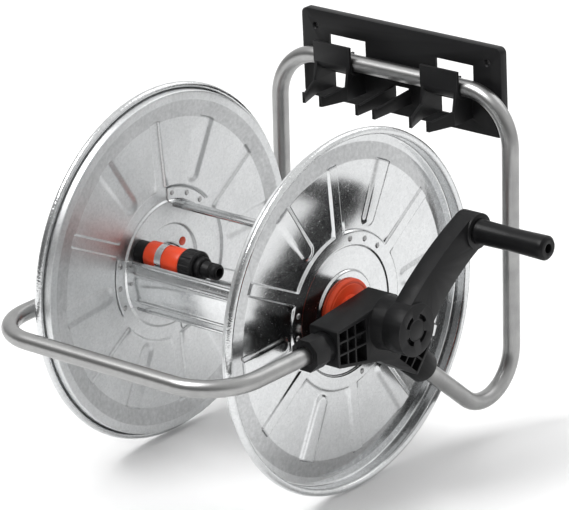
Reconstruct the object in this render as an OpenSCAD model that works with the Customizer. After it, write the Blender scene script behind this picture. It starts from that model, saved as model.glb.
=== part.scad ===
// Wall mounted hose reel.
// A moulded wall plate carries a bent tube frame on two hooks. A sheet metal drum turns in the
// frame, on a hollow water inlet at one side and on a cranked axle at the other.
// X runs along the drum axis to the crank side, +Y points into the wall and +Z up.
// The origin lies on the wall, in the middle of the plate's width and a little below its centre.

/* [Layout] */
// Distance of the drum axis from the wall
axle_out = 267; // [255:1:300]
// Depth of the drum axis below the part's origin
axle_drop = 168; // [155:1:190]
// Distance of the hanging bar's centre from the wall
bar_out = 25; // [23:0.5:30]
// Height of the hanging bar's centre above the part's origin
bar_z = 7; // [0:0.5:12]

/* [Wall plate] */
// Width of the wall plate
plate_w = 282; // [262:1:300]
// Height of the wall plate
plate_h = 102.5; // [96:0.5:114]
// Height of the plate's centre above the part's origin
plate_mid_z = 2.25; // [0:0.25:4]
// Depth of the wall plate, from the wall to its face
plate_t = 10; // [8:0.5:12]
// Wall thickness of the plate moulding
plate_wall = 3; // [2:0.25:4]
// Radius of the plate's corners
plate_corner_r = 7; // [4:1:10]
// Distance between the two wall screws
screw_pitch = 243; // [236:1:248]
// Height of the wall screws above the part's origin
screw_z = 34.5; // [32:0.5:36]
// Diameter of the wall screw holes
screw_d = 6; // [4:0.5:7]
// Distance between the centres of the two hooks
hook_pitch = 152; // [140:1:160]
// Length of a hook along the bar
hook_w = 52; // [48:1:60]
// Wall thickness of a hook
hook_wall = 3.5; // [2.5:0.25:4.5]
// Height of a hook's lip above the bar's centre
hook_lip = 21; // [16:0.5:24]
// Clearance between the bar and a hook
hook_clear = 0.4; // [0.2:0.1:0.8]
// Distance from the face of the plate to the tips of the forks
prong_len = 64; // [56:1:70]
// Distance between the two prongs of a fork at the tips
prong_pitch = 24; // [20:0.5:28]
// Thickness of a prong
prong_t = 4; // [3:0.25:5]
// Height of a prong at its root
prong_h = 16; // [13:0.5:17]
// Height of the stop at a prong's tip
prong_stop = 2; // [1:0.5:4]
// Depth of the forks' centre below the part's origin
fork_drop = 24.5; // [23.5:0.5:28]

/* [Frame tube] */
// Outer diameter of the frame tube
tube_d = 19; // [18:0.5:20.5]
// Wall thickness of the frame tube
tube_wall = 1.5; // [1:0.25:2.5]
// Gap from the plane of a disc rim to the tube's centre
arm_clear = 30; // [28:0.5:40]
// Depth of the front arms below the drum axis
arm_drop = 5.5; // [2:0.5:8]
// Distance from the drum axis to the front bar's centre
front_reach = 246; // [236:1:270]
// Distance in front of the drum axis where the lines of both tubes meet
rear_ahead = 9; // [6:0.5:12]
// Slope of the rear tube below the horizontal
rear_slope = 41; // [39:0.5:44]
// Lean of the legs towards the wall
leg_lean = 1.8; // [0:0.1:3]
// Centreline radius of the front bar's bends
front_bend_r = 60; // [45:1:70]
// Centreline radius of the hanging bar's bends
top_bend_r = 58; // [40:1:60]
// Centreline radius of the lower bends
low_bend_r = 50; // [40:1:54]
// Distance of the tube ends from the drum axis
tube_end_r = 34; // [32:0.5:38]

/* [Brackets] */
// Width of a bracket along the drum axis
bracket_w = 38; // [34:1:42]
// Distance from the drum axis to a bracket's front end
bracket_front = 80; // [76:1:90]
// Length of a bracket's rear leg along the tube
bracket_leg = 89; // [84:1:100]
// Height of a bracket's front end above and below the front arm
bracket_half_h = 20.5; // [18.5:0.5:22]
// Projection of the bracket's bearing boss
boss_len = 16; // [12:0.5:20]
// Radius of the bearing boss at its outer end
boss_r = 27; // [24:0.5:29]
// Thickness of the ribs in the brackets
rib_t = 2; // [1.5:0.25:3]
// Length of the ribbed field on a bracket's rear leg
leg_field = 40; // [30:1:44]
// Depth of the pockets between the ribs
pocket_depth = 14; // [8:0.5:20]
// Length of a front clamp nut
nut_len = 31; // [26:1:36]
// Radius of a front clamp nut to its corners
nut_r = 18.5; // [17:0.5:20]
// Length of a rear clamp collar
collar_len = 34; // [26:1:40]
// Outer radius of a rear clamp collar
collar_r = 17.5; // [16:0.5:20]
// Radius of a tube lock screw's shank
lock_r = 2; // [1.5:0.25:2.5]

/* [Drum] */
// Outer diameter of the discs
disc_d = 400; // [390:1:430]
// Distance between the planes of the two disc rims
drum_w = 268; // [250:1:320]
// Thickness of the sheet metal
sheet = 1.2; // [0.8:0.1:1.6]
// Radius of the rolled rim
bead_r = 4.3; // [3.4:0.1:5]
// Depth of the rivet ring, ribs and fingers behind the rim plane
face_inset = 6.5; // [5:0.5:8]
// Depth of the rim groove behind the ribs
groove_depth = 5; // [4:0.5:7]
// Inner radius of the cone between the panels and the rim groove
cone_in_r = 163; // [155:1:166]
// Outer radius of that cone
cone_out_r = 182; // [174:1:184]
// Depth of the panels and the hub land below the ribs
press_depth = 2.2; // [1.5:0.1:3]
// Number of panels on a disc
panel_count = 6; // [5:1:7]
// Angle of the first rib above the front
panel_angle = 26; // [0:1:60]
// Width of the ribs between the panels
rib_w = 14; // [11:0.5:17]
// Inner radius of the panels
panel_in_r = 88; // [87:0.5:92]
// Width of the fingers that stand up in the panels
finger_w = 17; // [12:0.5:20]
// Radius at which a finger starts
finger_in_r = 93; // [91:0.5:98]
// Radius of the sunk hub land
land_r = 70; // [68.5:0.5:71]
// Radius of the raised seat for the hub
hub_seat_r = 45; // [42:0.5:48]
// Height of that seat above the land
hub_seat_h = 2.2; // [1.5:0.1:4]

/* [Staves] */
// Radius of the drum to the outside of the staves
stave_r = 70; // [68.5:0.5:70.5]
// Half of the angle that one stave spans
stave_half = 23; // [20:0.5:28]
// Angle of the first stave above the front
stave_angle = -4; // [-30:1:30]
// Number of staves
stave_count = 3; // [2:1:4]
// Outer radius of the stave flanges
flange_r = 85.5; // [83.5:0.5:86.5]
// Radius of the rolled stave edges
curl_r = 2.8; // [2:0.1:3.4]
// Distance from a stave's end to where its rolled edges stop
curl_stop = 9; // [6:0.5:16]
// Angle of the stave's two ridges from its middle
ridge_half = 13; // [8:0.5:16]
// Radius of the ridges
ridge_r = 2; // [1.4:0.1:2.6]
// Radius at which the rivets sit
rivet_at_r = 79; // [77.5:0.5:80]
// Angle between neighbouring rivets
rivet_step = 18; // [12:0.5:18.5]
// Radius of a rivet's shank
rivet_r = 2; // [1.5:0.25:2.5]
// Height of a rivet's head
rivet_head_h = 1.3; // [1:0.1:1.8]

/* [Hubs] */
// Radius of a hub's flange
hub_r = 36; // [33:0.5:39]
// Thickness of a hub's flange
hub_t = 5; // [4:0.5:8]
// Radius of a hub's boss
hub_boss_r = 19; // [18:0.5:21]
// Radius at which the hub pegs sit
peg_at_r = 30; // [27.5:0.5:30.5]
// Radius of a hub peg
peg_r = 5; // [3:0.5:5]
// Number of hub pegs
peg_count = 3; // [2:1:4]
// Angle of the first hub peg above the front
peg_angle = 145; // [120:1:180]
// Side of the square on the drive axle in the hub
drive_square = 22; // [20:0.5:23]
// Radius of the drive axle's journal
journal_r = 10.5; // [9.5:0.25:11]
// Wall thickness of the bearing bush and of the thrust washer
bush_wall = 3; // [2:0.25:3.5]
// Thickness of the bush flange and of the thrust washer
washer_t = 1.2; // [0.8:0.1:1.6]
// Radial play of the turning fits
run_fit = 0.05; // [0.03:0.01:0.08]
// Play of the parts that are fixed to each other
seat_fit = 0.05; // [0.02:0.01:0.1]
// End play of the drum and of the crank
end_play = 0.4; // [0.3:0.1:0.8]

/* [Crank] */
// Thickness of the crank along the drum axis
crank_t = 24; // [22:0.5:28]
// Radius of the crank's hub
crank_hub_r = 29; // [26:0.5:32]
// Distance of the grip's axis towards the wall
grip_y = 109; // [100:1:116]
// Height of the grip's axis above the drum axis
grip_z = 76; // [66:1:84]
// Radius of the crank's tip
crank_tip_r = 19.5; // [17:0.5:22]
// Rise of the crank's bow over the straight line
crank_bow = 7; // [0:0.5:12]
// Wall thickness of the crank moulding
crank_wall = 3.5; // [2.5:0.25:4.5]
// Step of the arm behind the faces of its hub and tip
arm_step = 2.5; // [1:0.25:3.5]
// Side of the square in the crank
crank_square = 14; // [12:0.5:14]
// Radius of the crank cap
cap_r = 11; // [9:0.5:11.5]
// Thickness of the crank cap
cap_t = 2.5; // [2:0.25:3]
// Inner radius of the arc slots
slot_in_r = 12.5; // [12.5:0.5:14]
// Outer radius of the arc slots
slot_out_r = 17.5; // [16.5:0.5:20]
// Angle that an arc slot spans
slot_span = 50; // [35:1:65]
// Depth of the arc slots
slot_depth = 5; // [3:0.5:6]
// Length of the grip
grip_len = 91; // [80:1:110]
// Radius of the grip
grip_r = 13.4; // [12:0.2:16]
// Radius of the grip screw's shank
grip_pin_r = 4; // [3:0.25:5]
// Depth of the hole in the grip's end
grip_hole_depth = 26; // [16:1:40]

/* [Water way] */
// Distance of the hose coupler's axis from the drum axis
coupler_off = 52.5; // [50:0.5:54]
// Angle of the hose coupler above the front
coupler_angle = 31.5; // [29:0.5:60]
// Radius of the water bore
water_r = 5; // [4:0.25:5.5]
// Radius of the elbow's outlet body
elbow_r = 13; // [11:0.5:14]
// Length of the elbow's outlet body
elbow_len = 15; // [14.5:0.5:20]
// Radius of the hose nipple on the elbow
nipple_r = 8; // [7:0.25:9]
// Length of the hose nipple on the elbow
nipple_len = 40; // [30:1:46]
// Radius of the coupler sleeve
sleeve_r = 15.6; // [14:0.2:16.4]
// Length of the coupler sleeve
sleeve_len = 51; // [46:1:60]
// Distance from the sleeve's start to the bright band
band_at = 18; // [10:1:24]
// Width of the bright band
band_w = 9; // [6:0.5:12]
// Thickness of the bright band
band_t = 0.8; // [0.5:0.1:1.2]
// Radius of the ring nut
ring_nut_r = 17.6; // [16.6:0.2:18]
// Length of the ring nut
ring_nut_len = 20; // [16:0.5:26]
// Radius of the hose tail and of the inlet spigot
tail_r = 8.9; // [8:0.1:9.5]
// Length of the hose tail and of the inlet spigot
tail_len = 20; // [16:0.5:26]
// Radius of the shoulder behind the tail
shoulder_r = 12.5; // [11:0.5:14]
// Length of the shoulder behind the tail
shoulder_len = 7; // [5:0.5:10]
// Height of the inlet nut
inlet_nut_h = 10; // [8:0.5:14]
// Section radius of the O-rings
ring_r = 1.2; // [1:0.1:1.5]

/* [Hidden] */
$fn = 96;

plastic = "#1d1d1f";
zinc = "#b9bcbe";
galvanised = "#c9cccd";
orange = "#e8431d";
chrome = "#d8dadc";
rubber = "#141414";

// Lengths that only let cuts run past faces
over = 1;
// How far a straight tube runs into a bend, and how much thicker the bend is
bend_lap = 0.5;
bend_swell = 0.03;

// Centre of the drum
axle = [0, -axle_out, -axle_drop];

// Stations along the drum axis, from the middle out
rim_x = drum_w / 2;
face_x = rim_x - face_inset;
flange_x = face_x - sheet;
land_in_x = flange_x - press_depth;
floor_x = face_x - press_depth + hub_seat_h;
hub_in_x = floor_x - sheet;
hub_face_x = floor_x + hub_t;
arm_x = rim_x + arm_clear;
bracket_in_x = arm_x - bracket_w / 2;
bracket_out_x = arm_x + bracket_w / 2;
hub_end_x = bracket_in_x - washer_t - end_play;
boss_x = bracket_out_x + boss_len;
crank_in_x = boss_x + end_play;
crank_out_x = crank_in_x + crank_t;
grip_in_x = crank_out_x + end_play;
grip_out_x = grip_in_x + grip_len;

// Frame tube
tube_r = tube_d / 2;
arm_z = -arm_drop;
rear_dir = [0, cos(rear_slope), -sin(rear_slope)];
rear_from = [arm_x, -rear_ahead, arm_z];
bar_corner = [arm_x, axle_out - bar_out, axle_drop + bar_z];
leg_dir = [0, -sin(leg_lean), -cos(leg_lean)];
leg_reach = bar_corner - rear_from;
rear_run = (leg_reach[1] * leg_dir[2] - leg_reach[2] * leg_dir[1])
    / (rear_dir[1] * leg_dir[2] - rear_dir[2] * leg_dir[1]);
low_corner = rear_from + rear_dir * rear_run;

// Point on the rear tube's line, as Y and Z
function rear_at(s) = [rear_from[1] + rear_dir[1] * s, rear_from[2] + rear_dir[2] * s];

// Bush and bearing sizes
bush_r = journal_r + run_fit + bush_wall;
washer_r = bush_r + 4;
axle_head_t = 4;

// Water way stations on the inlet side, as distances from the middle
elbow_end_x = min(hub_in_x, land_in_x) - over;
sleeve_start_x = elbow_end_x - elbow_len;
duct_x = elbow_end_x - elbow_len / 2;
duct_r = elbow_len / 2 - 1;
sleeve_end_x = sleeve_start_x - sleeve_len;
nut_end_x = sleeve_end_x - ring_nut_len;
tail_end_x = nut_end_x - shoulder_len - tail_len;
elbow_bore_r = journal_r + run_fit;
elbow_tube_r = elbow_bore_r + bush_wall;
pipe_end_x = hub_in_x;
coupler_yz = coupler_off * [-cos(coupler_angle), sin(coupler_angle)];

// Direction of a vector
function unit(v) = v / norm(v);

// Round one corner of an outline with an arc
function corner_arc(a, b, c, r, steps) =
    let (
        to_a = unit(a - b),
        to_c = unit(c - b),
        half = acos(to_a * to_c) / 2,
        centre = b + unit(to_a + to_c) * r / sin(half),
        from = b + to_a * r / tan(half) - centre,
        to = b + to_c * r / tan(half) - centre,
        start = atan2(from[1], from[0]),
        sweep = (atan2(to[1], to[0]) - start + 540) % 360 - 180
    )
    [for (i = [0:steps]) centre + r * [cos(start + sweep * i / steps), sin(start + sweep * i / steps)]];

// Outline with all its corners rounded
function rounded(points, r, steps = 6) =
    let (n = len(points))
    [for (i = [0:n - 1])
        each corner_arc(points[(i + n - 1) % n], points[i], points[(i + 1) % n], r, steps)];

// Place children at the drum's centre
module at_axle() {
    translate(axle) children();
}

// Turn a shape along +Z so that it runs along +X from a station
module along_x(x) {
    translate([x, 0, 0]) rotate([0, 90, 0]) children();
}

// Turn an outline in Y and Z into a prism along X
module prism_x(from, to) {
    translate([from, 0, 0]) rotate([90, 0, 90]) linear_extrude(height = to - from) children();
}

// Copy children to an angle about the drum axis, counted up from the front
module at_angle(angle) {
    rotate([-angle, 0, 0]) children();
}

// Straight round rod between two points
module rod(a, b, r) {
    d = b - a;
    translate(a) rotate([0, acos(d[2] / norm(d)), atan2(d[1], d[0])]) cylinder(r = r, h = norm(d));
}

// Round bend at a corner between two directions, a hair thicker than the straight rods that run into it
module bend(corner, a, b, bend_r, r) {
    sweep = acos(a * b);
    side = unit(b - a * (a * b));
    start = corner - a * bend_r * tan(sweep / 2);
    centre = start + side * bend_r;
    up = cross(-side, a);
    multmatrix([
        [-side[0], a[0], up[0], centre[0]],
        [-side[1], a[1], up[1], centre[1]],
        [-side[2], a[2], up[2], centre[2]],
        [0, 0, 0, 1]
    ]) rotate_extrude(angle = sweep) translate([bend_r, 0]) circle(r = r + bend_swell);
}

// Round rod along a bent path, with a bend radius at each inner corner
module bent_rod(path, bends, r) {
    last = len(path) - 1;
    dirs = [for (i = [0:last - 1]) unit(path[i + 1] - path[i])];
    back = [for (i = [0:last])
        i == 0 || i == last ? 0 : bends[i - 1] * tan(acos(dirs[i - 1] * dirs[i]) / 2)];
    for (i = [0:last - 1]) {
        from = i == 0 ? path[i] : path[i] + dirs[i] * (back[i] - bend_lap);
        to = i == last - 1 ? path[i + 1] : path[i + 1] - dirs[i] * (back[i + 1] - bend_lap);
        rod(from, to, r);
    }
    for (i = [1:last - 1]) {
        bend(path[i], dirs[i - 1], dirs[i], bends[i - 1], r);
    }
}

// Bent tube, open at both ends
module bent_tube(path, bends) {
    last = len(path) - 1;
    first_dir = unit(path[1] - path[0]);
    last_dir = unit(path[last] - path[last - 1]);
    inner = [for (i = [0:last])
        i == 0 ? path[i] - first_dir * over : i == last ? path[i] + last_dir * over : path[i]];
    difference() {
        bent_rod(path, bends, tube_r);
        bent_rod(inner, bends, tube_r - tube_wall);
    }
}

// Point mirrored to the inlet side
function other_side(p) = [-p[0], p[1], p[2]];

// Rectangle with round corners, centred
module round_rect(w, h, r) {
    square([w - 2 * r, h], center = true);
    square([w, h - 2 * r], center = true);
    for (x = [-1, 1]) {
        for (z = [-1, 1]) {
            translate([x * (w / 2 - r), z * (h / 2 - r)]) circle(r = r);
        }
    }
}

// Prism from the wall outwards, of an outline in X and Z
module off_wall(from, to) {
    translate([0, -from, 0]) rotate([90, 0, 0]) linear_extrude(height = to - from) children();
}

// Wall plate

hook_in_r = tube_r + hook_clear;
hook_out_r = hook_in_r + hook_wall;
hook_front = bar_out + hook_out_r;
fork_top = prong_h / 2 - fork_drop;
fork_low = -prong_h / 2 - fork_drop;
prong_tip = plate_t + prong_len;
gusset_x = (hook_w - hook_wall) / 2 - 1.5;
fork_root = hook_front + 4;
screw_boss_r = screw_d / 2 + 5;
screw_x = min(screw_pitch / 2, plate_w / 2 - plate_wall - screw_boss_r);

// Moulded plate with a skirt, back ribs and screw bosses
module plate_shell() {
    rib_pitch = hook_pitch / 4;
    in_w = plate_w - 2 * plate_wall;
    in_h = plate_h - 2 * plate_wall;
    difference() {
        off_wall(0, plate_t) translate([0, plate_mid_z]) round_rect(plate_w, plate_h, plate_corner_r);
        difference() {
            off_wall(-over, plate_t - plate_wall) translate([0, plate_mid_z])
                round_rect(in_w, in_h, plate_corner_r - plate_wall / 2);
            for (i = [-3:3]) {
                off_wall(0, plate_t) translate([i * rib_pitch, plate_mid_z])
                    square([plate_wall, plate_h], center = true);
            }
            for (s = [-1, 1]) {
                off_wall(0, plate_t) translate([s * screw_x, screw_z]) circle(r = screw_boss_r);
            }
        }
    }
}

// Trough that carries the bar, with its lip and side gussets
module hook() {
    prism_x(-hook_w / 2, hook_w / 2) difference() {
        union() {
            translate([-bar_out, bar_z]) circle(r = hook_out_r);
            translate([-hook_front, bar_z]) square([hook_wall, hook_lip]);
            translate([-bar_out, bar_z - hook_out_r]) square([bar_out - plate_t, hook_out_r]);
        }
        translate([-bar_out, bar_z]) circle(r = hook_in_r);
        translate([-bar_out - hook_in_r, bar_z]) square([bar_out + hook_in_r, hook_lip + over]);
        translate([-plate_t, bar_z - hook_out_r - over]) square([hook_out_r, 2 * hook_out_r]);
    }
    for (s = [-1, 1]) {
        prism_x(s * gusset_x - hook_wall / 2, s * gusset_x + hook_wall / 2) difference() {
            polygon([
                [-plate_t, bar_z], [-hook_front + over / 2, bar_z], [-fork_root, fork_top],
                [-fork_root, fork_low], [-plate_t, fork_low]
            ]);
            translate([-bar_out, bar_z]) circle(r = hook_in_r);
        }
    }
}

// Side outline of a prong: it gets lower towards its tip and ends in a small stop
module prong_outline(root) {
    tip_top = fork_low + prong_h * 0.65;
    polygon([
        [-root, fork_low], [-prong_tip, fork_low], [-prong_tip, tip_top + prong_stop],
        [-prong_tip + 2, tip_top + prong_stop], [-prong_tip + 4, tip_top], [-root, fork_top]
    ]);
}

// Fork under a hook: its prongs run in from the gussets to the tips
module hook_fork() {
    root = fork_root - over;
    for (s = [-1, 1]) {
        intersection() {
            prism_x(-hook_w, hook_w) prong_outline(root);
            translate([0, 0, fork_low - over]) linear_extrude(height = prong_h + prong_stop + 2 * over)
                polygon([
                    [s * (gusset_x + hook_wall / 2), -root], [s * (prong_pitch + prong_t) / 2, -prong_tip],
                    [s * (prong_pitch - prong_t) / 2, -prong_tip], [s * (gusset_x - hook_wall / 2), -root]
                ]);
        }
    }
}

// Middle fork, straight out of the plate
module middle_fork() {
    for (s = [-1, 1]) {
        prism_x((s * prong_pitch - prong_t) / 2, (s * prong_pitch + prong_t) / 2) prong_outline(plate_t);
    }
}

// Windows behind the hooks and forks, and the screw holes
module plate_cuts() {
    window_w = 2 * gusset_x - hook_wall;
    middle_w = prong_pitch - prong_t;
    low_window_h = prong_h + 2;
    for (s = [-1, 1]) {
        translate([s * hook_pitch / 2, 0]) {
            off_wall(-over, plate_t + over)
                translate([-hook_w / 2, bar_z + 2]) square([hook_w, hook_lip - 2]);
            off_wall(-over, plate_t + over)
                translate([-window_w / 2, fork_low - over]) square([window_w, low_window_h]);
        }
        translate([s * screw_x, 0, screw_z]) rotate([90, 0, 0]) {
            translate([0, 0, -over]) cylinder(d = screw_d, h = plate_t + 2 * over);
            translate([0, 0, plate_t - screw_d / 4])
                cylinder(d1 = screw_d, d2 = 2 * screw_d, h = screw_d / 2);
        }
    }
    off_wall(-over, plate_t + over)
        translate([-middle_w / 2, fork_low - over]) square([middle_w, low_window_h]);
}

module wall_plate() {
    color(plastic) {
        difference() {
            plate_shell();
            plate_cuts();
        }
        for (s = [-1, 1]) {
            translate([s * hook_pitch / 2, 0, 0]) {
                hook();
                hook_fork();
            }
        }
        middle_fork();
    }
}

// Frame tubes

module rear_frame_tube() {
    start = rear_from + rear_dir * tube_end_r;
    path = [
        start, low_corner, bar_corner,
        other_side(bar_corner), other_side(low_corner), other_side(start)
    ];
    color(zinc) at_axle() difference() {
        bent_tube(path, [low_bend_r, top_bend_r, top_bend_r, low_bend_r]);
        lock_holes(lock_r + seat_fit);
    }
}

module front_frame_tube() {
    start = [arm_x, -tube_end_r, arm_z];
    corner = [arm_x, -front_reach, arm_z];
    color(zinc) at_axle() difference() {
        bent_tube([start, corner, other_side(corner), other_side(start)], [front_bend_r, front_bend_r]);
        lock_holes(lock_r + seat_fit);
    }
}

// Places of the tube lock screws on one side: one in the front arm and one in the rear tube
lock_at = tube_end_r + 22;
lock_points = [[0, -lock_at, arm_z], [0, rear_at(lock_at)[0], rear_at(lock_at)[1]]];

// Bores for the lock screws, through the inner wall of bracket and tube
module lock_holes(r) {
    for (p = lock_points) {
        for (s = [0, 1]) {
            mirror([s, 0, 0]) translate(p) along_x(bracket_in_x - over) cylinder(r = r, h = bracket_w / 2);
        }
    }
}

// Brackets

leg_up = [-rear_dir[2], rear_dir[1]];
leg_half = collar_r - 1;
block_top = arm_z + bracket_half_h;
block_low = arm_z - bracket_half_h;

// Side outline of a bracket: a front block, a hub and a sloping rear leg
module bracket_outline() {
    polygon(rounded([
        [-bracket_front, block_top], [-bracket_front, block_low],
        [-hub_r, block_low - 9], [-boss_r / 2, block_low - 14],
        rear_at(bracket_leg) - leg_up * leg_half, rear_at(bracket_leg) + leg_up * leg_half,
        rear_at(60) + leg_up * (leg_half + 4), [boss_r + 13, 0], [boss_r - 10, boss_r - 1]
    ], 2.5));
}

// Lug on the upper edge of the leg's end
module bracket_lug() {
    lug_r = 6;
    translate(rear_at(bracket_leg - lug_r) + leg_up * (leg_half + lug_r / 3)) circle(r = lug_r);
}

// Open cells of the front block, between two upright and two level ribs
module block_cells(from, to) {
    edge = 1.5 * rib_t;
    column = (to - from) / 3;
    difference() {
        polygon([
            [-from, block_low - 9 + edge], [-from, block_top + 3 - edge],
            [-to, block_top - edge], [-to, block_low + edge]
        ]);
        for (i = [1, 2]) {
            translate([-to + i * column * 0.9, arm_z]) square([rib_t, 4 * bracket_half_h], center = true);
            translate([-(from + to) / 2, arm_z - bracket_half_h + i * bracket_half_h * 0.66])
                square([2 * (to - from), rib_t], center = true);
        }
    }
}

// Open cells of the rear leg, three along the tube and two across it
module leg_cells(from, to) {
    edge = 1.25 * rib_t;
    column = (to - from) / 3;
    translate(rear_at(from)) rotate(-rear_slope) difference() {
        translate([0, -leg_half + edge]) square([to - from, 2 * (leg_half - edge)]);
        for (i = [1, 2]) {
            translate([i * column, 0]) square([rib_t, 4 * leg_half], center = true);
        }
        square([4 * (to - from), rib_t], center = true);
    }
}

// Socket around the end of each tube
module tube_bores(r) {
    rod([arm_x, -tube_end_r, arm_z], [arm_x, -bracket_front - over, arm_z], r);
    rod(rear_from + rear_dir * tube_end_r, rear_from + rear_dir * (bracket_leg + over), r);
}

// Bracket moulding: solid towards the drum, with open cells outside and a cone for the bearing
module bracket() {
    pocket_x = bracket_out_x - pocket_depth;
    edge = 1.5 * rib_t;
    difference() {
        union() {
            difference() {
                union() {
                    prism_x(bracket_in_x, bracket_out_x) bracket_outline();
                    prism_x(arm_x, bracket_out_x) bracket_lug();
                }
                prism_x(pocket_x, bracket_out_x + over) block_cells(boss_r + 7, bracket_front - edge);
                prism_x(pocket_x, bracket_out_x + over) leg_cells(bracket_leg - leg_field, bracket_leg - edge);
            }
            intersection() {
                tube_bores(tube_r + 2.5);
                prism_x(bracket_in_x, bracket_out_x) bracket_outline();
            }
            along_x(bracket_out_x - over) cylinder(r1 = boss_r + 3, r2 = boss_r, h = boss_len + over);
        }
        tube_bores(tube_r + seat_fit);
        along_x(bracket_in_x - over) cylinder(r = bush_r + seat_fit, h = bracket_w + boss_len + 2 * over);
        lock_holes(lock_r + seat_fit);
    }
}

module crank_bracket() {
    color(plastic) at_axle() bracket();
}

module inlet_bracket() {
    color(plastic) at_axle() mirror([1, 0, 0]) bracket();
}

// Clamp nut on one front arm: an eight sided nut and a round neck against the bracket
module clamp_nut() {
    neck = nut_len / 3;
    translate([arm_x, -bracket_front, arm_z]) rotate([90, 0, 0]) difference() {
        union() {
            cylinder(r = nut_r - 2, h = neck);
            translate([0, 0, neck]) rotate(22.5) cylinder(r = nut_r, h = nut_len - neck, $fn = 8);
        }
        translate([0, 0, -over]) cylinder(r = tube_r + hook_clear, h = nut_len + 2 * over);
    }
}

module front_clamp_nuts() {
    color(plastic) at_axle() {
        clamp_nut();
        mirror([1, 0, 0]) clamp_nut();
    }
}

// Round collar on one rear tube, with a turned-in outer end
module clamp_collar() {
    edge = 6;
    bore_r = tube_r + hook_clear;
    translate(rear_from + rear_dir * bracket_leg) rotate([-90 - rear_slope, 0, 0]) rotate_extrude()
        polygon([
            [bore_r, 0], [collar_r, 0], [collar_r, collar_len - edge],
            [collar_r - edge, collar_len], [bore_r, collar_len]
        ]);
}

module rear_clamp_collars() {
    color(plastic) at_axle() {
        clamp_collar();
        mirror([1, 0, 0]) clamp_collar();
    }
}

module tube_lock_screws() {
    head_h = 2.4;
    color(zinc) at_axle() for (p = lock_points) {
        for (s = [0, 1]) {
            mirror([s, 0, 0]) translate(p) along_x(bracket_in_x) {
                cylinder(r = lock_r, h = bracket_w / 2 - tube_r + tube_wall + over);
                translate([0, 0, -head_h]) cylinder(r1 = lock_r + 1.2, r2 = 2 * lock_r + 0.4, h = head_h);
            }
        }
    }
}

// Bearings

// Flanged bearing bush in the crank side bracket
module axle_bush() {
    color(rubber) at_axle() difference() {
        union() {
            along_x(bracket_in_x - washer_t) cylinder(r = washer_r, h = washer_t);
            along_x(bracket_in_x - washer_t) cylinder(r = bush_r, h = boss_x - bracket_in_x + washer_t);
        }
        along_x(bracket_in_x - 2 * over)
            cylinder(r = journal_r + run_fit, h = boss_x - bracket_in_x + 3 * over);
    }
}

// Washer that takes the side load of the drum on the inlet side
module thrust_washer() {
    color(rubber) at_axle() mirror([1, 0, 0]) along_x(bracket_in_x - washer_t) difference() {
        cylinder(r = washer_r, h = washer_t);
        translate([0, 0, -over]) cylinder(r = journal_r + seat_fit, h = washer_t + 2 * over);
    }
}

// Water inlet

ring_stations = [hub_in_x + 5, hub_in_x + 11];
inlet_out_x = boss_x + inlet_nut_h;

// Place of a nipple's ring groove
groove_at = shoulder_len + tail_len * 0.55;

// Outline of a hose nipple: shoulder, groove and chamfered end, from zero upwards
module nipple_outline(start) {
    end = shoulder_len + tail_len;
    difference() {
        polygon([
            [water_r, -start], [shoulder_r, -start],
            [shoulder_r, shoulder_len - 1.5], [shoulder_r - 1.5, shoulder_len],
            [tail_r, shoulder_len], [tail_r, end - 2], [tail_r - 1.6, end], [water_r, end]
        ]);
        translate([tail_r - 2 * ring_r, groove_at - ring_r]) square([3 * ring_r, 2 * ring_r]);
    }
}

// Stationary inlet: a pipe with two ring grooves in the drum, a body in the bracket and a nipple outside
module inlet_spigot() {
    color(plastic) at_axle() mirror([1, 0, 0]) difference() {
        union() {
            along_x(pipe_end_x) cylinder(r = journal_r, h = bracket_in_x - pipe_end_x);
            along_x(bracket_in_x) cylinder(r = bush_r, h = inlet_out_x - bracket_in_x);
            along_x(inlet_out_x) rotate_extrude() nipple_outline(over / 2);
        }
        along_x(pipe_end_x - over) cylinder(r = water_r, h = inlet_out_x + over);
        for (x = ring_stations) {
            along_x(x - ring_r) difference() {
                cylinder(r = journal_r + over, h = 2 * ring_r);
                translate([0, 0, -over]) cylinder(r = journal_r - 2 * ring_r, h = 2 * ring_r + 2 * over);
            }
        }
    }
}

// Six sided nut that holds the inlet in the bracket
module inlet_nut() {
    color(plastic) at_axle() mirror([1, 0, 0]) along_x(boss_x) difference() {
        cylinder(r = boss_r, h = inlet_nut_h - over, $fn = 6);
        translate([0, 0, -over]) cylinder(r = bush_r + seat_fit, h = inlet_nut_h + 2 * over);
    }
}

// O-ring that fills a groove up to a surface radius
module o_ring(surface_r) {
    rotate_extrude() translate([surface_r - ring_r, 0]) circle(r = ring_r - seat_fit);
}

module inlet_o_rings() {
    color(rubber) at_axle() mirror([1, 0, 0]) {
        for (x = ring_stations) {
            along_x(x) o_ring(journal_r);
        }
        along_x(inlet_out_x + groove_at) o_ring(tail_r);
    }
}

// Drum discs

groove_u = -face_inset - groove_depth;
ring_u = -face_inset;
panel_u = -face_inset - press_depth;
seat_u = panel_u + hub_seat_h;
disc_hole_r = hub_boss_r - 2;
bead_at_r = disc_d / 2 - bead_r;
press_slope = 2;

// Stations of the cone, drawn in together where the disc is too small for them
rim_room = 2 * press_slope;
cone_end_r = max(cone_out_r, cone_in_r + rim_room);
cone_fit = min(1, disc_d / 2 / (cone_end_r + rim_room + 2 * bead_r));
cone_from = cone_in_r * cone_fit;
cone_to = cone_end_r * cone_fit;
run_out_r = cone_from + press_slope * cone_fit;
ring_out_r = max(panel_in_r - press_slope, flange_r + 0.5);
rib_from_r = ring_out_r - 0.4;
rib_u = ring_u - 0.05;

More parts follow.
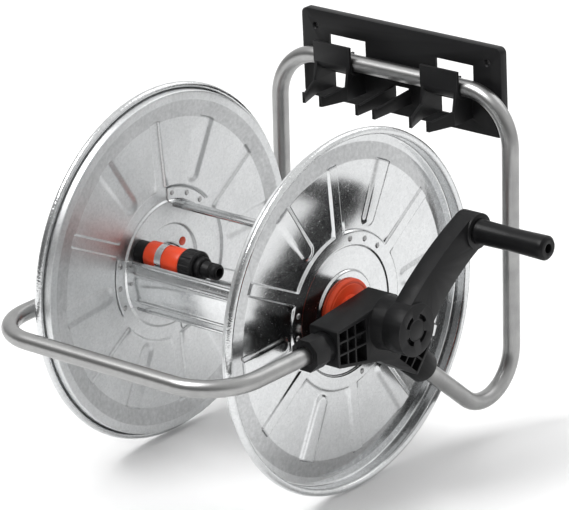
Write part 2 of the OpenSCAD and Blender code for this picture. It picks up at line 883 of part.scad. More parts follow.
// Outer face of the pressed sheet as radius and height over the rim plane
face_profile = [
    [disc_hole_r, seat_u], [hub_seat_r - press_slope, seat_u], [hub_seat_r, panel_u],
    [land_r, panel_u], [land_r + press_slope, ring_u],
    [ring_out_r, ring_u], [ring_out_r + press_slope, panel_u],
    [cone_from, panel_u], [cone_to, groove_u], [bead_at_r - bead_r, groove_u],
    [bead_at_r - bead_r * 0.8, -bead_r / 2]
];

// Half section of the disc: the sheet and its rolled rim
module disc_section() {
    n = len(face_profile);
    polygon(concat(face_profile, [for (i = [n - 1:-1:0]) face_profile[i] - [0, sheet]]));
    translate([bead_at_r, 0]) difference() {
        circle(r = bead_r);
        circle(r = bead_r - sheet);
        translate([0, -bead_r - over]) square([bead_r / 4, bead_r + over]);
    }
}

// Ribs between the panels and fingers in them, grown by a margin
module press_pattern(grow) {
    step = 360 / panel_count;
    for (i = [0:panel_count - 1]) {
        rotate(-90 - panel_angle - i * step) {
            translate([rib_from_r, -rib_w / 2 - grow])
                square([run_out_r - rib_from_r + grow, rib_w + 2 * grow]);
            rotate(step / 2) finger(grow);
        }
    }
}

// One finger: a round inner end that widens towards the rim
module finger(grow) {
    r = finger_w / 2;
    flare = r * 1.25;
    translate([finger_in_r + r, 0]) circle(r = r + grow);
    polygon([
        [finger_in_r + r, -r - grow], [run_out_r + grow, -flare - grow],
        [run_out_r + grow, flare + grow], [finger_in_r + r, r + grow]
    ]);
}

// Bores for the rivets and hub pegs
module disc_bores() {
    for (a = rivet_angles) {
        rotate(-90 - a) translate([rivet_at_r, 0, groove_u - sheet - over])
            cylinder(r = rivet_r + seat_fit, h = groove_depth + face_inset);
    }
    for (i = [0:peg_count - 1]) {
        rotate(-90 - peg_angle - i * 360 / peg_count) translate([peg_at_r, 0, seat_u - sheet - over])
            cylinder(r = peg_r + seat_fit, h = sheet + 2 * over);
    }
}

module disc() {
    along_x(rim_x) difference() {
        union() {
            rotate_extrude() disc_section();
            translate([0, 0, panel_u - sheet / 2])
                linear_extrude(height = rib_u - panel_u + sheet / 2) press_pattern(0);
        }
        translate([0, 0, groove_u - sheet - over])
            linear_extrude(height = rib_u - groove_u + over) press_pattern(-sheet);
        disc_bores();
    }
}

module crank_disc() {
    color(galvanised) at_axle() disc();
}

module inlet_disc() {
    color(galvanised) at_axle() mirror([1, 0, 0]) disc();
}

// Staves

stave_angles = [for (i = [0:stave_count - 1]) stave_angle + i * 360 / stave_count];
rivet_angles = [for (a = stave_angles) for (k = [-1, 0, 1]) a + k * rivet_step];

// Sheet stave: a web with two joggled end flanges, two ridges and two rolled edges
module stave(index) {
    web_r = stave_r - sheet;
    curl_len = 2 * (flange_x - sheet - curl_stop);
    joggle_r = max(stave_r, land_r) + 0.35;
    bend_r = joggle_r + press_slope;
    half = [
        [web_r, land_in_x], [joggle_r, land_in_x], [bend_r, flange_x], [flange_r, flange_x],
        [flange_r, flange_x - sheet], [bend_r + sheet / 2, flange_x - sheet], [stave_r, land_in_x - 2 * sheet]
    ];
    at_angle(stave_angles[index]) difference() {
        union() {
            along_x(0) rotate(-90 - stave_half) rotate_extrude(angle = 2 * stave_half)
                polygon(concat(half, [for (i = [len(half) - 1:-1:0]) [half[i][0], -half[i][1]]]));
            for (s = [-1, 1]) {
                at_angle(s * ridge_half) translate([0, -web_r, 0]) along_x(-land_in_x + sheet / 2)
                    cylinder(r = ridge_r, h = 2 * land_in_x - sheet);
                at_angle(s * stave_half) translate([0, -web_r, 0]) along_x(-curl_len / 2)
                    cylinder(r = curl_r, h = curl_len);
            }
        }
        for (s = [-1, 1]) {
            at_angle(s * ridge_half) translate([0, -web_r, 0]) along_x(-flange_x - over)
                cylinder(r = ridge_r - sheet / 2, h = 2 * (flange_x + over));
            at_angle(s * stave_half) translate([0, -web_r, 0]) along_x(-curl_len / 2 - over)
                cylinder(r = curl_r - sheet, h = curl_len + 2 * over);
        }
        for (k = [-1, 0, 1]) {
            at_angle(k * rivet_step) translate([0, -rivet_at_r, 0]) along_x(-flange_x - over)
                cylinder(r = rivet_r + seat_fit, h = 2 * (flange_x + over));
        }
    }
}

module stave_front() {
    color(galvanised) at_axle() stave(0);
}

module stave_upper() {
    color(galvanised) at_axle() stave(1);
}

module stave_rear() {
    color(galvanised) at_axle() stave(2);
}

// Rivets with a low head on each side of disc and flange
module stave_rivets() {
    head_r = rivet_r + 1.3;
    grip = 2 * sheet;
    color(zinc) at_axle() for (s = [0, 1]) {
        mirror([s, 0, 0]) for (a = rivet_angles) {
            at_angle(a) translate([0, -rivet_at_r, 0]) along_x(flange_x - sheet) {
                cylinder(r = rivet_r, h = grip);
                translate([0, 0, grip]) cylinder(r1 = head_r, r2 = rivet_r, h = rivet_head_h);
                translate([0, 0, -rivet_head_h]) cylinder(r1 = rivet_r, r2 = head_r, h = rivet_head_h);
            }
        }
    }
}

// Hubs

// Orange hub: a flange with a ring groove, a boss to the bracket and pegs through the disc
module hub_body() {
    spigot_r = disc_hole_r - seat_fit;
    groove_r = hub_r - 5;
    groove_h = 0.6;
    along_x(floor_x) difference() {
        union() {
            cylinder(r = hub_r, h = hub_t - 2);
            translate([0, 0, hub_t - 2]) cylinder(r1 = hub_r, r2 = hub_r - 2, h = 2);
            cylinder(r = hub_boss_r, h = hub_end_x - floor_x);
            translate([0, 0, -sheet]) cylinder(r = spigot_r, h = sheet + over);
        }
        translate([0, 0, hub_t - groove_h]) difference() {
            cylinder(r = groove_r + 0.8, h = over + groove_h);
            translate([0, 0, -over]) cylinder(r = groove_r - 0.8, h = 3 * over + groove_h);
        }
    }
    for (i = [0:peg_count - 1]) {
        at_angle(peg_angle + i * 360 / peg_count) translate([0, -peg_at_r, 0])
            along_x(floor_x - sheet - 0.6) cylinder(r = peg_r, h = sheet + 0.6 + over);
    }
}

module crank_hub() {
    side = drive_square + 2 * seat_fit;
    length = hub_end_x - hub_in_x + 2 * over;
    color(orange) at_axle() difference() {
        hub_body();
        translate([hub_in_x - over, -side / 2, -side / 2]) cube([length, side, side]);
    }
}

module inlet_hub() {
    color(orange) at_axle() mirror([1, 0, 0]) difference() {
        hub_body();
        along_x(hub_in_x - over) cylinder(r = elbow_tube_r + seat_fit, h = hub_end_x - hub_in_x + 2 * over);
    }
}

// Axle from the drum to the crank: a head inside, a square in the hub, a journal and a square for the crank
crank_socket = crank_t - cap_t - 7;
axle_tip_x = crank_in_x + crank_socket - end_play;

module drive_axle() {
    tap_r = 2.5;
    color(zinc) at_axle() difference() {
        union() {
            along_x(hub_in_x - axle_head_t) cylinder(r = hub_boss_r + 2, h = axle_head_t);
            translate([hub_in_x - over, -drive_square / 2, -drive_square / 2])
                cube([hub_end_x - hub_in_x + over, drive_square, drive_square]);
            along_x(hub_end_x - over) cylinder(r = journal_r, h = crank_in_x - hub_end_x + over);
            translate([crank_in_x - over, -crank_square / 2, -crank_square / 2])
                cube([axle_tip_x - crank_in_x + over, crank_square, crank_square]);
        }
        along_x(axle_tip_x - 20) cylinder(r = tap_r + seat_fit, h = 20 + over);
    }
}

// Hose elbow and coupler

// Place children on the coupler's axis, with +X turned to the inlet side
module on_coupler() {
    at_axle() translate([0, coupler_yz[0], coupler_yz[1]]) mirror([1, 0, 0]) children();
}

// Elbow that turns with the drum: a tube on the inlet pipe, a duct and an outlet with a nipple
module hose_elbow() {
    tube_in_x = sleeve_start_x - bush_wall;
    duct_dir = unit([0, coupler_yz[0], coupler_yz[1]]);
    duct_mid = [duct_x, 0, 0];
    color(plastic) difference() {
        union() {
            at_axle() mirror([1, 0, 0]) {
                along_x(tube_in_x) cylinder(r = elbow_tube_r, h = hub_end_x - tube_in_x);
                along_x(hub_in_x - axle_head_t) cylinder(r = hub_boss_r + 2, h = axle_head_t);
                rod(
                    duct_mid + duct_dir * (elbow_tube_r - 2), duct_mid + duct_dir * (coupler_off - 4), duct_r
                );
            }
            on_coupler() {
                along_x(sleeve_start_x) cylinder(r = elbow_r, h = elbow_len);
                along_x(sleeve_start_x - nipple_len) cylinder(r = nipple_r, h = nipple_len + over);
            }
        }
        at_axle() mirror([1, 0, 0]) {
            along_x(sleeve_start_x) cylinder(r = elbow_bore_r, h = hub_end_x - sleeve_start_x + over);
            rod(duct_mid + duct_dir * (elbow_bore_r - 4), duct_mid + duct_dir * (coupler_off + 3), water_r);
        }
        on_coupler() along_x(sleeve_start_x - nipple_len - over)
            cylinder(r = water_r - 0.5, h = nipple_len + over + elbow_len / 2 + 2);
    }
}

// Orange sleeve with a groove for the band
module coupler_sleeve() {
    edge = 1.5;
    low = sleeve_len - band_at - band_w;
    high = sleeve_len - band_at;
    color(orange) on_coupler() along_x(sleeve_end_x) rotate_extrude() polygon([
        [nipple_r + seat_fit, 0], [sleeve_r - edge, 0], [sleeve_r, edge],
        [sleeve_r, low], [sleeve_r - band_t, low], [sleeve_r - band_t, high], [sleeve_r, high],
        [sleeve_r, sleeve_len - edge], [sleeve_r - edge, sleeve_len], [nipple_r + seat_fit, sleeve_len]
    ]);
}

// Bright band around the sleeve
module coupler_band() {
    color(chrome) on_coupler() along_x(sleeve_start_x - band_at - band_w) difference() {
        cylinder(r = sleeve_r + band_t, h = band_w);
        translate([0, 0, -over]) cylinder(r = sleeve_r - band_t, h = band_w + 2 * over);
    }
}

// Ring nut with finger flutes
module coupler_ring_nut() {
    flutes = 16;
    flute_r = 3;
    edge = 2;
    color(plastic) on_coupler() along_x(nut_end_x) difference() {
        rotate_extrude() polygon([
            [water_r, 0], [ring_nut_r - edge, 0], [ring_nut_r, edge],
            [ring_nut_r, ring_nut_len - edge], [ring_nut_r - edge, ring_nut_len], [water_r, ring_nut_len]
        ]);
        for (i = [0:flutes - 1]) {
            rotate(i * 360 / flutes) translate([ring_nut_r + flute_r - 0.7, 0, edge + 1])
                cylinder(r = flute_r, h = ring_nut_len - 2 * edge - 2);
        }
    }
}

// Tail that the hose is pushed on to
module hose_tail() {
    color(plastic) on_coupler() along_x(nut_end_x) mirror([0, 0, 1]) rotate_extrude() nipple_outline(0);
}

module tail_o_ring() {
    color(rubber) on_coupler() along_x(nut_end_x - groove_at) o_ring(tail_r);
}

// Crank

tip = [grip_y, grip_z];
reach_dir = unit(tip);
bow_mid = tip / 2 + [-reach_dir[1], reach_dir[0]] * 2 * crank_bow;

// Centre line of the arm, a smooth bow from the hub to the tip
function bow(t) = 2 * t * (1 - t) * bow_mid + t * t * tip;
function bow_side(t) =
    let (d = unit((2 - 4 * t) * bow_mid + 2 * t * tip)) [-d[1], d[0]];
// Half width of the arm, which narrows from the hub to the tip
function bow_half(t) = crank_tip_r + (crank_hub_r - 4 - crank_tip_r) * pow(1 - t, 2);

// Side outline of the arm, drawn in by a wall
module arm_outline(wall) {
    steps = 16;
    circle(r = crank_hub_r - wall);
    translate(tip) circle(r = crank_tip_r - wall);
    polygon(concat(
        [for (i = [0:steps]) bow(i / steps) + bow_side(i / steps) * (bow_half(i / steps) - wall)],
        [for (i = [steps:-1:0]) bow(i / steps) - bow_side(i / steps) * (bow_half(i / steps) - wall)]
    ));
}

// Ring sector outline
module arc_slot(in_r, out_r, span) {
    far = 2 * out_r;
    edge = far * [cos(span / 2), sin(span / 2)];
    intersection() {
        difference() {
            circle(r = out_r);
            circle(r = in_r);
        }
        polygon([[0, 0], [edge[0], -edge[1]], [far, 0], edge]);
    }
}

// Crank moulding, hollow on the drum side, with bosses for the axle and the grip screw
module crank_arm() {
    side = crank_square + 2 * seat_fit;
    socket_r = side * 0.71 + crank_wall;
    tap_depth = 16;
    color(plastic) at_axle() difference() {
        union() {
            difference() {
                prism_x(crank_in_x, crank_out_x) arm_outline(0);
                prism_x(crank_in_x - over, crank_out_x - arm_step - crank_wall) difference() {
                    arm_outline(crank_wall);
                    circle(r = crank_hub_r - crank_wall / 2);
                    translate(tip) circle(r = grip_pin_r + crank_wall);
                }
            }
            translate([0, tip[0], tip[1]]) along_x(crank_out_x - tap_depth)
                cylinder(r = grip_pin_r + crank_wall, h = tap_depth);
        }
        along_x(crank_in_x - over) difference() {
            cylinder(r = crank_hub_r - crank_wall, h = over + crank_socket - crank_wall);
            cylinder(r = socket_r, h = over + crank_socket);
        }
        translate([crank_in_x - over, -side / 2, -side / 2]) cube([crank_socket + over, side, side]);
        along_x(crank_in_x) cylinder(r = 3, h = crank_t);
        along_x(crank_out_x - cap_t - 3.5) cylinder(r = cap_r + seat_fit, h = cap_t + 3.5 + over);
        prism_x(crank_out_x - arm_step, crank_out_x + over) difference() {
            arm_outline(-over);
            circle(r = crank_hub_r);
            translate(tip) circle(r = crank_tip_r);
        }
        for (k = [0:3]) {
            prism_x(crank_out_x - slot_depth, crank_out_x + over) rotate(45 + k * 90)
                arc_slot(slot_in_r, slot_out_r, slot_span);
        }
        translate([0, tip[0], tip[1]]) along_x(crank_out_x - tap_depth + crank_wall)
            cylinder(r = grip_pin_r + seat_fit, h = tap_depth);
    }
}

// Screw that holds the crank on the axle
module crank_screw() {
    floor_at = crank_out_x - cap_t - 3.5;
    color(zinc) at_axle() {
        along_x(axle_tip_x - 16) cylinder(r = 2.5, h = floor_at - axle_tip_x + 16);
        along_x(floor_at) cylinder(r = 6, h = 3);
    }
}

// Cap over the crank screw
module crank_cap() {
    color(plastic) at_axle() along_x(crank_out_x - cap_t) cylinder(r = cap_r, h = cap_t);
}

// Grip

grip_hole_r = grip_pin_r + 1.2;

// Shoulder screw that the grip turns on
module grip_screw() {
    head_h = 4;
    head_r = grip_hole_r - 0.3;
    seat_x = grip_out_x - grip_hole_depth + end_play;
    color(zinc) at_axle() translate([0, tip[0], tip[1]]) {
        along_x(crank_out_x - 12) cylinder(r = grip_pin_r, h = seat_x - crank_out_x + 12);
        along_x(seat_x) cylinder(r = head_r, h = head_h);
    }
}

// Turning grip with a collar at its root, a slight waist and a hole in its end
module crank_grip() {
    edge = 2.5;
    waist = 0.8;
    color(plastic) at_axle() translate([0, tip[0], tip[1]]) along_x(grip_in_x) difference() {
        rotate_extrude() polygon([
            [0, 0], [grip_r + waist, 0], [grip_r + waist, 2], [grip_r, 5],
            [grip_r - waist, grip_len / 2], [grip_r, grip_len - 3 * edge],
            [grip_r, grip_len - edge], [grip_r - edge, grip_len], [0, grip_len]
        ]);
        translate([0, 0, -over]) cylinder(r = grip_pin_r + run_fit, h = grip_len);
        translate([0, 0, grip_len - grip_hole_depth]) cylinder(r = grip_hole_r, h = grip_hole_depth + over);
    }
}

wall_plate();
rear_frame_tube();
front_frame_tube();
crank_bracket();
inlet_bracket();
front_clamp_nuts();
rear_clamp_collars();
tube_lock_screws();
axle_bush();
thrust_washer();
inlet_spigot();
inlet_nut();
inlet_o_rings();
crank_disc();
inlet_disc();
stave_front();
stave_upper();
stave_rear();
stave_rivets();
crank_hub();
inlet_hub();
drive_axle();
hose_elbow();
coupler_sleeve();
coupler_band();
coupler_ring_nut();
hose_tail();
tail_o_ring();
crank_arm();
crank_screw();
crank_cap();
grip_screw();
crank_grip();
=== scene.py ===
"""Looks of a wall mounted hose reel: pressed sheet discs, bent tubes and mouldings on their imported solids."""

import logging
import math
from dataclasses import dataclass
from enum import Enum
from functools import reduce
from typing import Optional, Sequence

import bmesh
import bpy
import numpy as np
from mathutils import Matrix, Vector


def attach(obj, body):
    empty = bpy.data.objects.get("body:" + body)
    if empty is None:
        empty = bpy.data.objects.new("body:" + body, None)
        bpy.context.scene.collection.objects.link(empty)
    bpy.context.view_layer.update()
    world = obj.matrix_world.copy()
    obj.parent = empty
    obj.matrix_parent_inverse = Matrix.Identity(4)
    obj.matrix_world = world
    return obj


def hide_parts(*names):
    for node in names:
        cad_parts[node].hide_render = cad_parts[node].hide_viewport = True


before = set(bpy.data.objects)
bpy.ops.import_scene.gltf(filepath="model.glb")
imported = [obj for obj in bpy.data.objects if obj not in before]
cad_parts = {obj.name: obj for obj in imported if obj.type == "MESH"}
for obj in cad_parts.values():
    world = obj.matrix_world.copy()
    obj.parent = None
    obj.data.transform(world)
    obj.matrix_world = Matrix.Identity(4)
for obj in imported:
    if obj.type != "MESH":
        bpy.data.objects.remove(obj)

LOG = logging.getLogger("hose_reel")
# Metres in a millimetre
MM = 0.001
# Middle of the drum in the frame, in millimetres
AXLE = np.array([0.0, -267.0, -168.0])
# Inputs of a map range node, in the order in which their values are given
RANGE_KEYS = ("From Min", "From Max", "To Min", "To Max")
# Distances in metres within which points count as one, on new pieces and on copies of CAD nodes
WELD = 1e-7
MERGE = 2e-6
# Angles in degrees below which faces count as flat and above which edges count as sharp
FLAT_ANGLE = 0.4
SHARP_ANGLE = 32.0

Triple = tuple[float, float, float]
Colour = Triple
Pair = tuple[float, float]
Piece = bpy.types.Object
Material = bpy.types.Material
Socket = bpy.types.NodeSocket


class Body(Enum):
    """Rigid bodies of the reel."""

    PLATE = "wall_plate"
    FRAME = "reel_frame"
    DRUM = "drum"
    GRIP = "grip"


class Slot(Enum):
    """Material slots of the record, passed along with new pieces but not given to them."""

    PLASTIC = "black_plastic"
    TUBE = "zinc_tube"
    SHEET = "galvanised_sheet"
    ORANGE = "orange_plastic"


class Side(Enum):
    """Side of the drum, as the sign of X."""

    CRANK = 1
    INLET = -1


# Node graphs


class Graph:
    """Short forms for wiring the nodes of one material."""

    # Cosine of the turn from a surface to its bevelled normal, on flats and on edges
    FLAT_TURN = 0.995
    EDGE_TURN = 0.86
    EDGE_SAMPLES = 6

    def __init__(self, name: str) -> None:
        """Start a material with a principled shader."""
        self.material = bpy.data.materials.new(name)
        self.material.use_nodes = True
        self.tree = self.material.node_tree
        self.shader = self.tree.nodes["Principled BSDF"]

    def node(self, kind: str, **settings: object) -> bpy.types.Node:
        """Add a node of a kind and set its properties."""
        made = self.tree.nodes.new("ShaderNode" + kind)
        for key, value in settings.items():
            setattr(made, key, value)
        return made

    def join(self, value: object, socket: Socket) -> None:
        """Link a socket, or set a plain value, on an input."""
        if isinstance(value, Socket):
            self.tree.links.new(value, socket)
        else:
            socket.default_value = value

    def place(self, stretch: Sequence[float] = (1, 1, 1), uv: bool = False) -> Socket:
        """Coordinates of the surface, stretched.

        Args:
            stretch: factor on each axis.
            uv: read the piece's own UV map instead of object coordinates.

        Returns:
            The socket with the coordinates.
        """
        source = self.node("TexCoord").outputs["UV" if uv else "Object"]
        mapping = self.node("Mapping")
        self.join(source, mapping.inputs["Vector"])
        mapping.inputs["Scale"].default_value = tuple(stretch)
        return mapping.outputs["Vector"]

    def noise(self, at: Socket, scale: float, detail: float = 3.0, rough: float = 0.55) -> Socket:
        """Noise value at some coordinates."""
        made = self.node("TexNoise")
        self.join(at, made.inputs["Vector"])
        made.inputs["Scale"].default_value = scale
        made.inputs["Detail"].default_value = detail
        made.inputs["Roughness"].default_value = rough
        return made.outputs["Fac"]

    def cells(self, at: Socket, scale: float) -> Socket:
        """Random grey of the nearest cell, for crystal spangle."""
        made = self.node("TexVoronoi")
        self.join(at, made.inputs["Vector"])
        made.inputs["Scale"].default_value = scale
        grey = self.node("SeparateColor")
        self.join(made.outputs["Color"], grey.inputs[0])
        return grey.outputs[0]

    def mark(self, name: str) -> Socket:
        """Share that a piece keeps as an attribute, zero where it has none."""
        return self.node("Attribute", attribute_name=name).outputs["Fac"]

    def span(self, value: Socket, low: float, high: float, to_low: float = 0.0,
             to_high: float = 1.0) -> Socket:
        """Map a value from one range to another, held at the ends."""
        made = self.node("MapRange")
        self.join(value, made.inputs["Value"])
        for key, number in zip(RANGE_KEYS, (low, high, to_low, to_high)):
            made.inputs[key].default_value = number
        return made.outputs["Result"]

    def sums(self, operation: str, a: object, b: object) -> Socket:
        """Result of a sum on two values."""
        made = self.node("Math", operation=operation)
        self.join(a, made.inputs[0])
        self.join(b, made.inputs[1])
        return made.outputs[0]

    def times(self, a: object, b: object) -> Socket:
        """Product of two values."""
        return self.sums("MULTIPLY", a, b)

    def total(self, *values: Socket) -> Socket:
        """Sum of some values."""
        return reduce(lambda a, b: self.sums("ADD", a, b), values)

    def blend(self, share: object, a: object, b: object) -> Socket:
        """Colour between a and b."""
        made = self.node("Mix", data_type="RGBA")
        self.join(share, made.inputs["Factor"])
        for key, colour in (("A", a), ("B", b)):
            socket = next(s for s in made.inputs if s.name == key and s.type == "RGBA")
            self.join(colour if isinstance(colour, Socket) else (*colour, 1.0), socket)
        return next(s for s in made.outputs if s.type == "RGBA")

    def bump(self, height: Socket, depth: float, strength: float = 1.0,
             over: Optional[Socket] = None) -> Socket:
        """Normal of a surface with a height on it.

        Args:
            height: the height, as a share of the depth.
            depth: depth in metres.
            strength: share of the bump that shows.
            over: another bumped normal that this one lies on.

        Returns:
            The socket with the normal.
        """
        made = self.node("Bump")
        if over is not None:
            self.join(over, made.inputs["Normal"])
        self.join(height, made.inputs["Height"])
        made.inputs["Strength"].default_value = strength
        made.inputs["Distance"].default_value = depth
        return made.outputs["Normal"]

    def edges(self, reach: float) -> Socket:
        """Share of a rubbed edge: one where the surface turns within reach, zero on flats."""
        soft = self.node("Bevel", samples=self.EDGE_SAMPLES)
        soft.inputs["Radius"].default_value = reach
        own = self.node("NewGeometry").outputs["Normal"]
        turn = self.node("VectorMath", operation="DOT_PRODUCT")
        self.join(soft.outputs["Normal"], turn.inputs[0])
        self.join(own, turn.inputs[1])
        return self.span(turn.outputs["Value"], self.FLAT_TURN, self.EDGE_TURN)

    def set(self, **values: object) -> None:
        """Set inputs of the shader by name, with underscores for spaces."""
        for key, value in values.items():
            self.join(value, self.shader.inputs[key.replace("_", " ")])


# Finishes, with depths in metres and scales in noise cells to the metre


@dataclass(frozen=True)
class MouldedPlastic:
    """Moulded plastic with a fine eroded grain, faint flow marks and rubbed edges.

    Fields give the base colour, the colour of rubbed edges, the roughness, the depth and scale of the grain,
    the level of gloss, the scale and stretch of the flow marks with their share of the colour, and the reach
    and scale of the rubbed edges.
    """

    name: str
    colour: Colour
    rubbed: Colour
    roughness: float = 0.42
    grain: float = 0.00004
    grain_scale: float = 900.0
    gloss: float = 0.16
    flow_scale: float = 26.0
    flow_stretch: Triple = (1.0, 1.0, 2.2)
    flow_share: float = 0.82
    edge_reach: float = 0.0016
    edge_scale: float = 60.0

    def material(self) -> Material:
        """Build the node material.

        Returns:
            The material.
        """
        g = Graph(self.name)
        at = g.place()
        fine = g.noise(at, self.grain_scale, 2.0)
        flow = g.noise(g.place(self.flow_stretch), self.flow_scale, 4.0)
        patchy = g.span(g.noise(at, self.edge_scale), 0.35, 0.7, to_low=0.25)
        worn = g.times(g.edges(self.edge_reach), patchy)
        deep = tuple(c * self.flow_share for c in self.colour)
        body = g.blend(g.span(flow, 0.3, 0.7), deep, self.colour)
        uneven = g.total(flow, g.times(fine, 0.5))
        g.set(
            Base_Color=g.blend(worn, body, self.rubbed),
            Roughness=g.span(uneven, 0.45, 1.05, self.roughness - 0.06, self.roughness + 0.08),
            Specular_IOR_Level=self.gloss,
            Normal=g.bump(fine, self.grain),
        )
        return g.material


@dataclass(frozen=True)
class GalvanisedSheet:
    """Bright galvanised sheet: fine crystal spangle, specks and small stains.

    The hose's side is duller (attribute rub), the cone band is painted darker all over in the stains' colour, a
    painted shade for its dark reflection (by its own attribute), and the rolled rim has fine crimps (attribute
    crimp).
    """

    name: str
    colour: Colour = (0.71, 0.72, 0.725)
    dull: Colour = (0.58, 0.59, 0.595)
    # Darker zinc of the small stains, also painted over the cone band as painted shade for its dark reflection
    drawn: Colour = (0.41, 0.415, 0.42)
    roughness: float = 0.16
    worn: float = 0.32
    wear_scale: float = 18.0
    spangle_scale: float = 420.0
    coarse_scale: float = 45.0
    speck_scale: float = 650.0
    grain: float = 0.5
    grain_depth: float = 0.000003
    # Scale of the mottle in the cone band's painted shade
    drawn_scale: float = 240.0
    stain_scale: float = 330.0
    stain_stretch: Triple = (1.0, 1.0, 2.5)
    crimp_scale: float = 420.0
    crimp_depth: float = 0.0006
    crimp: float = 0.6

    def material(self) -> Material:
        """Build the node material.

        Returns:
            The material.
        """
        g = Graph(self.name)
        at = g.place()
        spangle = g.cells(at, self.spangle_scale)
        coarse = g.noise(at, self.coarse_scale, 4.0)
        tone = g.total(g.times(spangle, 0.4), g.times(coarse, 0.6))
        specks = g.span(g.noise(at, self.speck_scale, 2.0), 0.60, 0.72)
        scuffs = g.span(g.noise(at, self.wear_scale, 5.0), 0.3, 0.7, self.worn * 0.6, self.worn)
        wear = g.times(g.mark("rub"), scuffs)
        # Painted shade: the cone band is darkened all over, with a mottle, to stand in for its dark reflection
        cone = g.times(g.mark("drawn"), g.span(g.noise(at, self.drawn_scale), 0.3, 0.7, 0.45, 0.95))
        stain = g.span(g.noise(g.place(self.stain_stretch), self.stain_scale), 0.60, 0.72, to_high=0.45)
        crimps = g.times(g.mark("crimp"), g.noise(at, self.crimp_scale, 2.0))
        grain = g.bump(g.total(g.times(spangle, 0.3), specks), self.grain_depth, self.grain)
        zinc = g.blend(g.span(tone, 0.15, 0.8), self.dull, self.colour)
        polish = g.span(tone, 0.1, 0.9, self.roughness - 0.04, self.roughness + 0.04)
        g.set(
            Base_Color=g.blend(g.sums("MAXIMUM", cone, stain), zinc, self.drawn),
            Metallic=1.0,
            Roughness=g.total(polish, g.total(wear, g.times(specks, 0.12))),
            Normal=g.bump(crimps, self.crimp_depth, self.crimp, grain),
        )
        return g.material


@dataclass(frozen=True)
class ZincTube:
    """Zinc plated tube with drawing lines along its length and small dull patches."""

    name: str
    colour: Colour = (0.39, 0.39, 0.385)
    dull: Colour = (0.28, 0.28, 0.28)
    roughness: float = 0.32
    line_scale: float = 6.0
    line_stretch: Triple = (3.0, 90.0, 1.0)
    patch_scale: float = 40.0
    mottle_scale: float = 900.0
    grain: float = 0.5
    grain_depth: float = 0.000005

    def material(self) -> Material:
        """Build the node material.

        Returns:
            The material.
        """
        g = Graph(self.name)
        lines = g.noise(g.place(self.line_stretch, uv=True), self.line_scale)
        patches = g.noise(g.place(), self.patch_scale, 4.0, 0.6)
        mottle = g.noise(g.place(), self.mottle_scale, 2.0)
        tone = g.total(g.times(lines, 0.45), g.times(patches, 0.55))
        g.set(
            Base_Color=g.blend(g.span(tone, 0.32, 0.66), self.dull, self.colour),
            Metallic=1.0,
            Roughness=g.span(tone, 0.3, 0.7, self.roughness + 0.05, self.roughness - 0.03),
            Normal=g.bump(g.total(lines, g.times(mottle, 0.3)), self.grain_depth, self.grain),
        )
        return g.material


@dataclass(frozen=True)
class PlatedSteel:
    """Plated or polished metal for small pieces, with fine turning marks."""

    name: str
    colour: Colour
    roughness: float
    marks: float = 0.35
    mark_depth: float = 0.00001
    mark_scale: float = 500.0
    mark_stretch: Triple = (6.0, 1.0, 1.0)
    stain_scale: float = 120.0
    stain_share: float = 0.78

    def material(self) -> Material:
        """Build the node material.

        Returns:
            The material.
        """
        g = Graph(self.name)
        turned = g.noise(g.place(self.mark_stretch), self.mark_scale, 2.0)
        stain = g.noise(g.place(), self.stain_scale, 4.0)
        dull = tuple(c * self.stain_share for c in self.colour)
        g.set(
            Base_Color=g.blend(g.span(stain, 0.35, 0.65), dull, self.colour),
            Metallic=1.0,
            Roughness=g.span(stain, 0.3, 0.7, self.roughness + 0.08, self.roughness),
            Normal=g.bump(turned, self.mark_depth, self.marks),
        )
        return g.material


PLASTIC = MouldedPlastic("black_moulding", (0.0098, 0.0098, 0.0104), (0.034, 0.034, 0.035))
GRIP_PLASTIC = MouldedPlastic("black_grip", (0.006, 0.006, 0.0065), (0.024, 0.024, 0.025), 0.34, 0.000015)
ORANGE = MouldedPlastic("orange_moulding", (0.74, 0.060, 0.014), (0.84, 0.12, 0.04), 0.34, 0.00002, gloss=0.4)
# Brighter copy of the orange for the hubs: partly their own more vivid orange, partly painted light against the
# bracket's shade
LIT_HUB_ORANGE = MouldedPlastic("lit_orange_hub", (1.0, 0.098, 0.030), (1.0, 0.17, 0.06), 0.40, 0.00002, gloss=0.35)
BEARING = MouldedPlastic("bearing_moulding", (0.05, 0.05, 0.055), (0.10, 0.10, 0.10), 0.35, 0.00002)
RUBBER = MouldedPlastic("seal_rubber", (0.010, 0.010, 0.010), (0.03, 0.03, 0.03), 0.62, 0.00003, 1500.0)
SHEET = GalvanisedSheet("galvanised_sheet")
STAVE_SHEET = GalvanisedSheet("stave_sheet", roughness=0.17, grain=0.15)
TUBE = ZincTube("zinc_tube")
CHROME = PlatedSteel("bright_band", (0.80, 0.81, 0.82), 0.08, 0.15)
STEEL = PlatedSteel("zinc_steel", (0.62, 0.62, 0.60), 0.24)
RIVET = PlatedSteel("rivet_steel", (0.40, 0.40, 0.40), 0.32)


# Surfaces


def placed(name: str, mesh: bpy.types.Mesh) -> Piece:
    """Object at the origin that shows a mesh."""
    made = bpy.data.objects.new(name, mesh)
    bpy.context.scene.collection.objects.link(made)
    return made


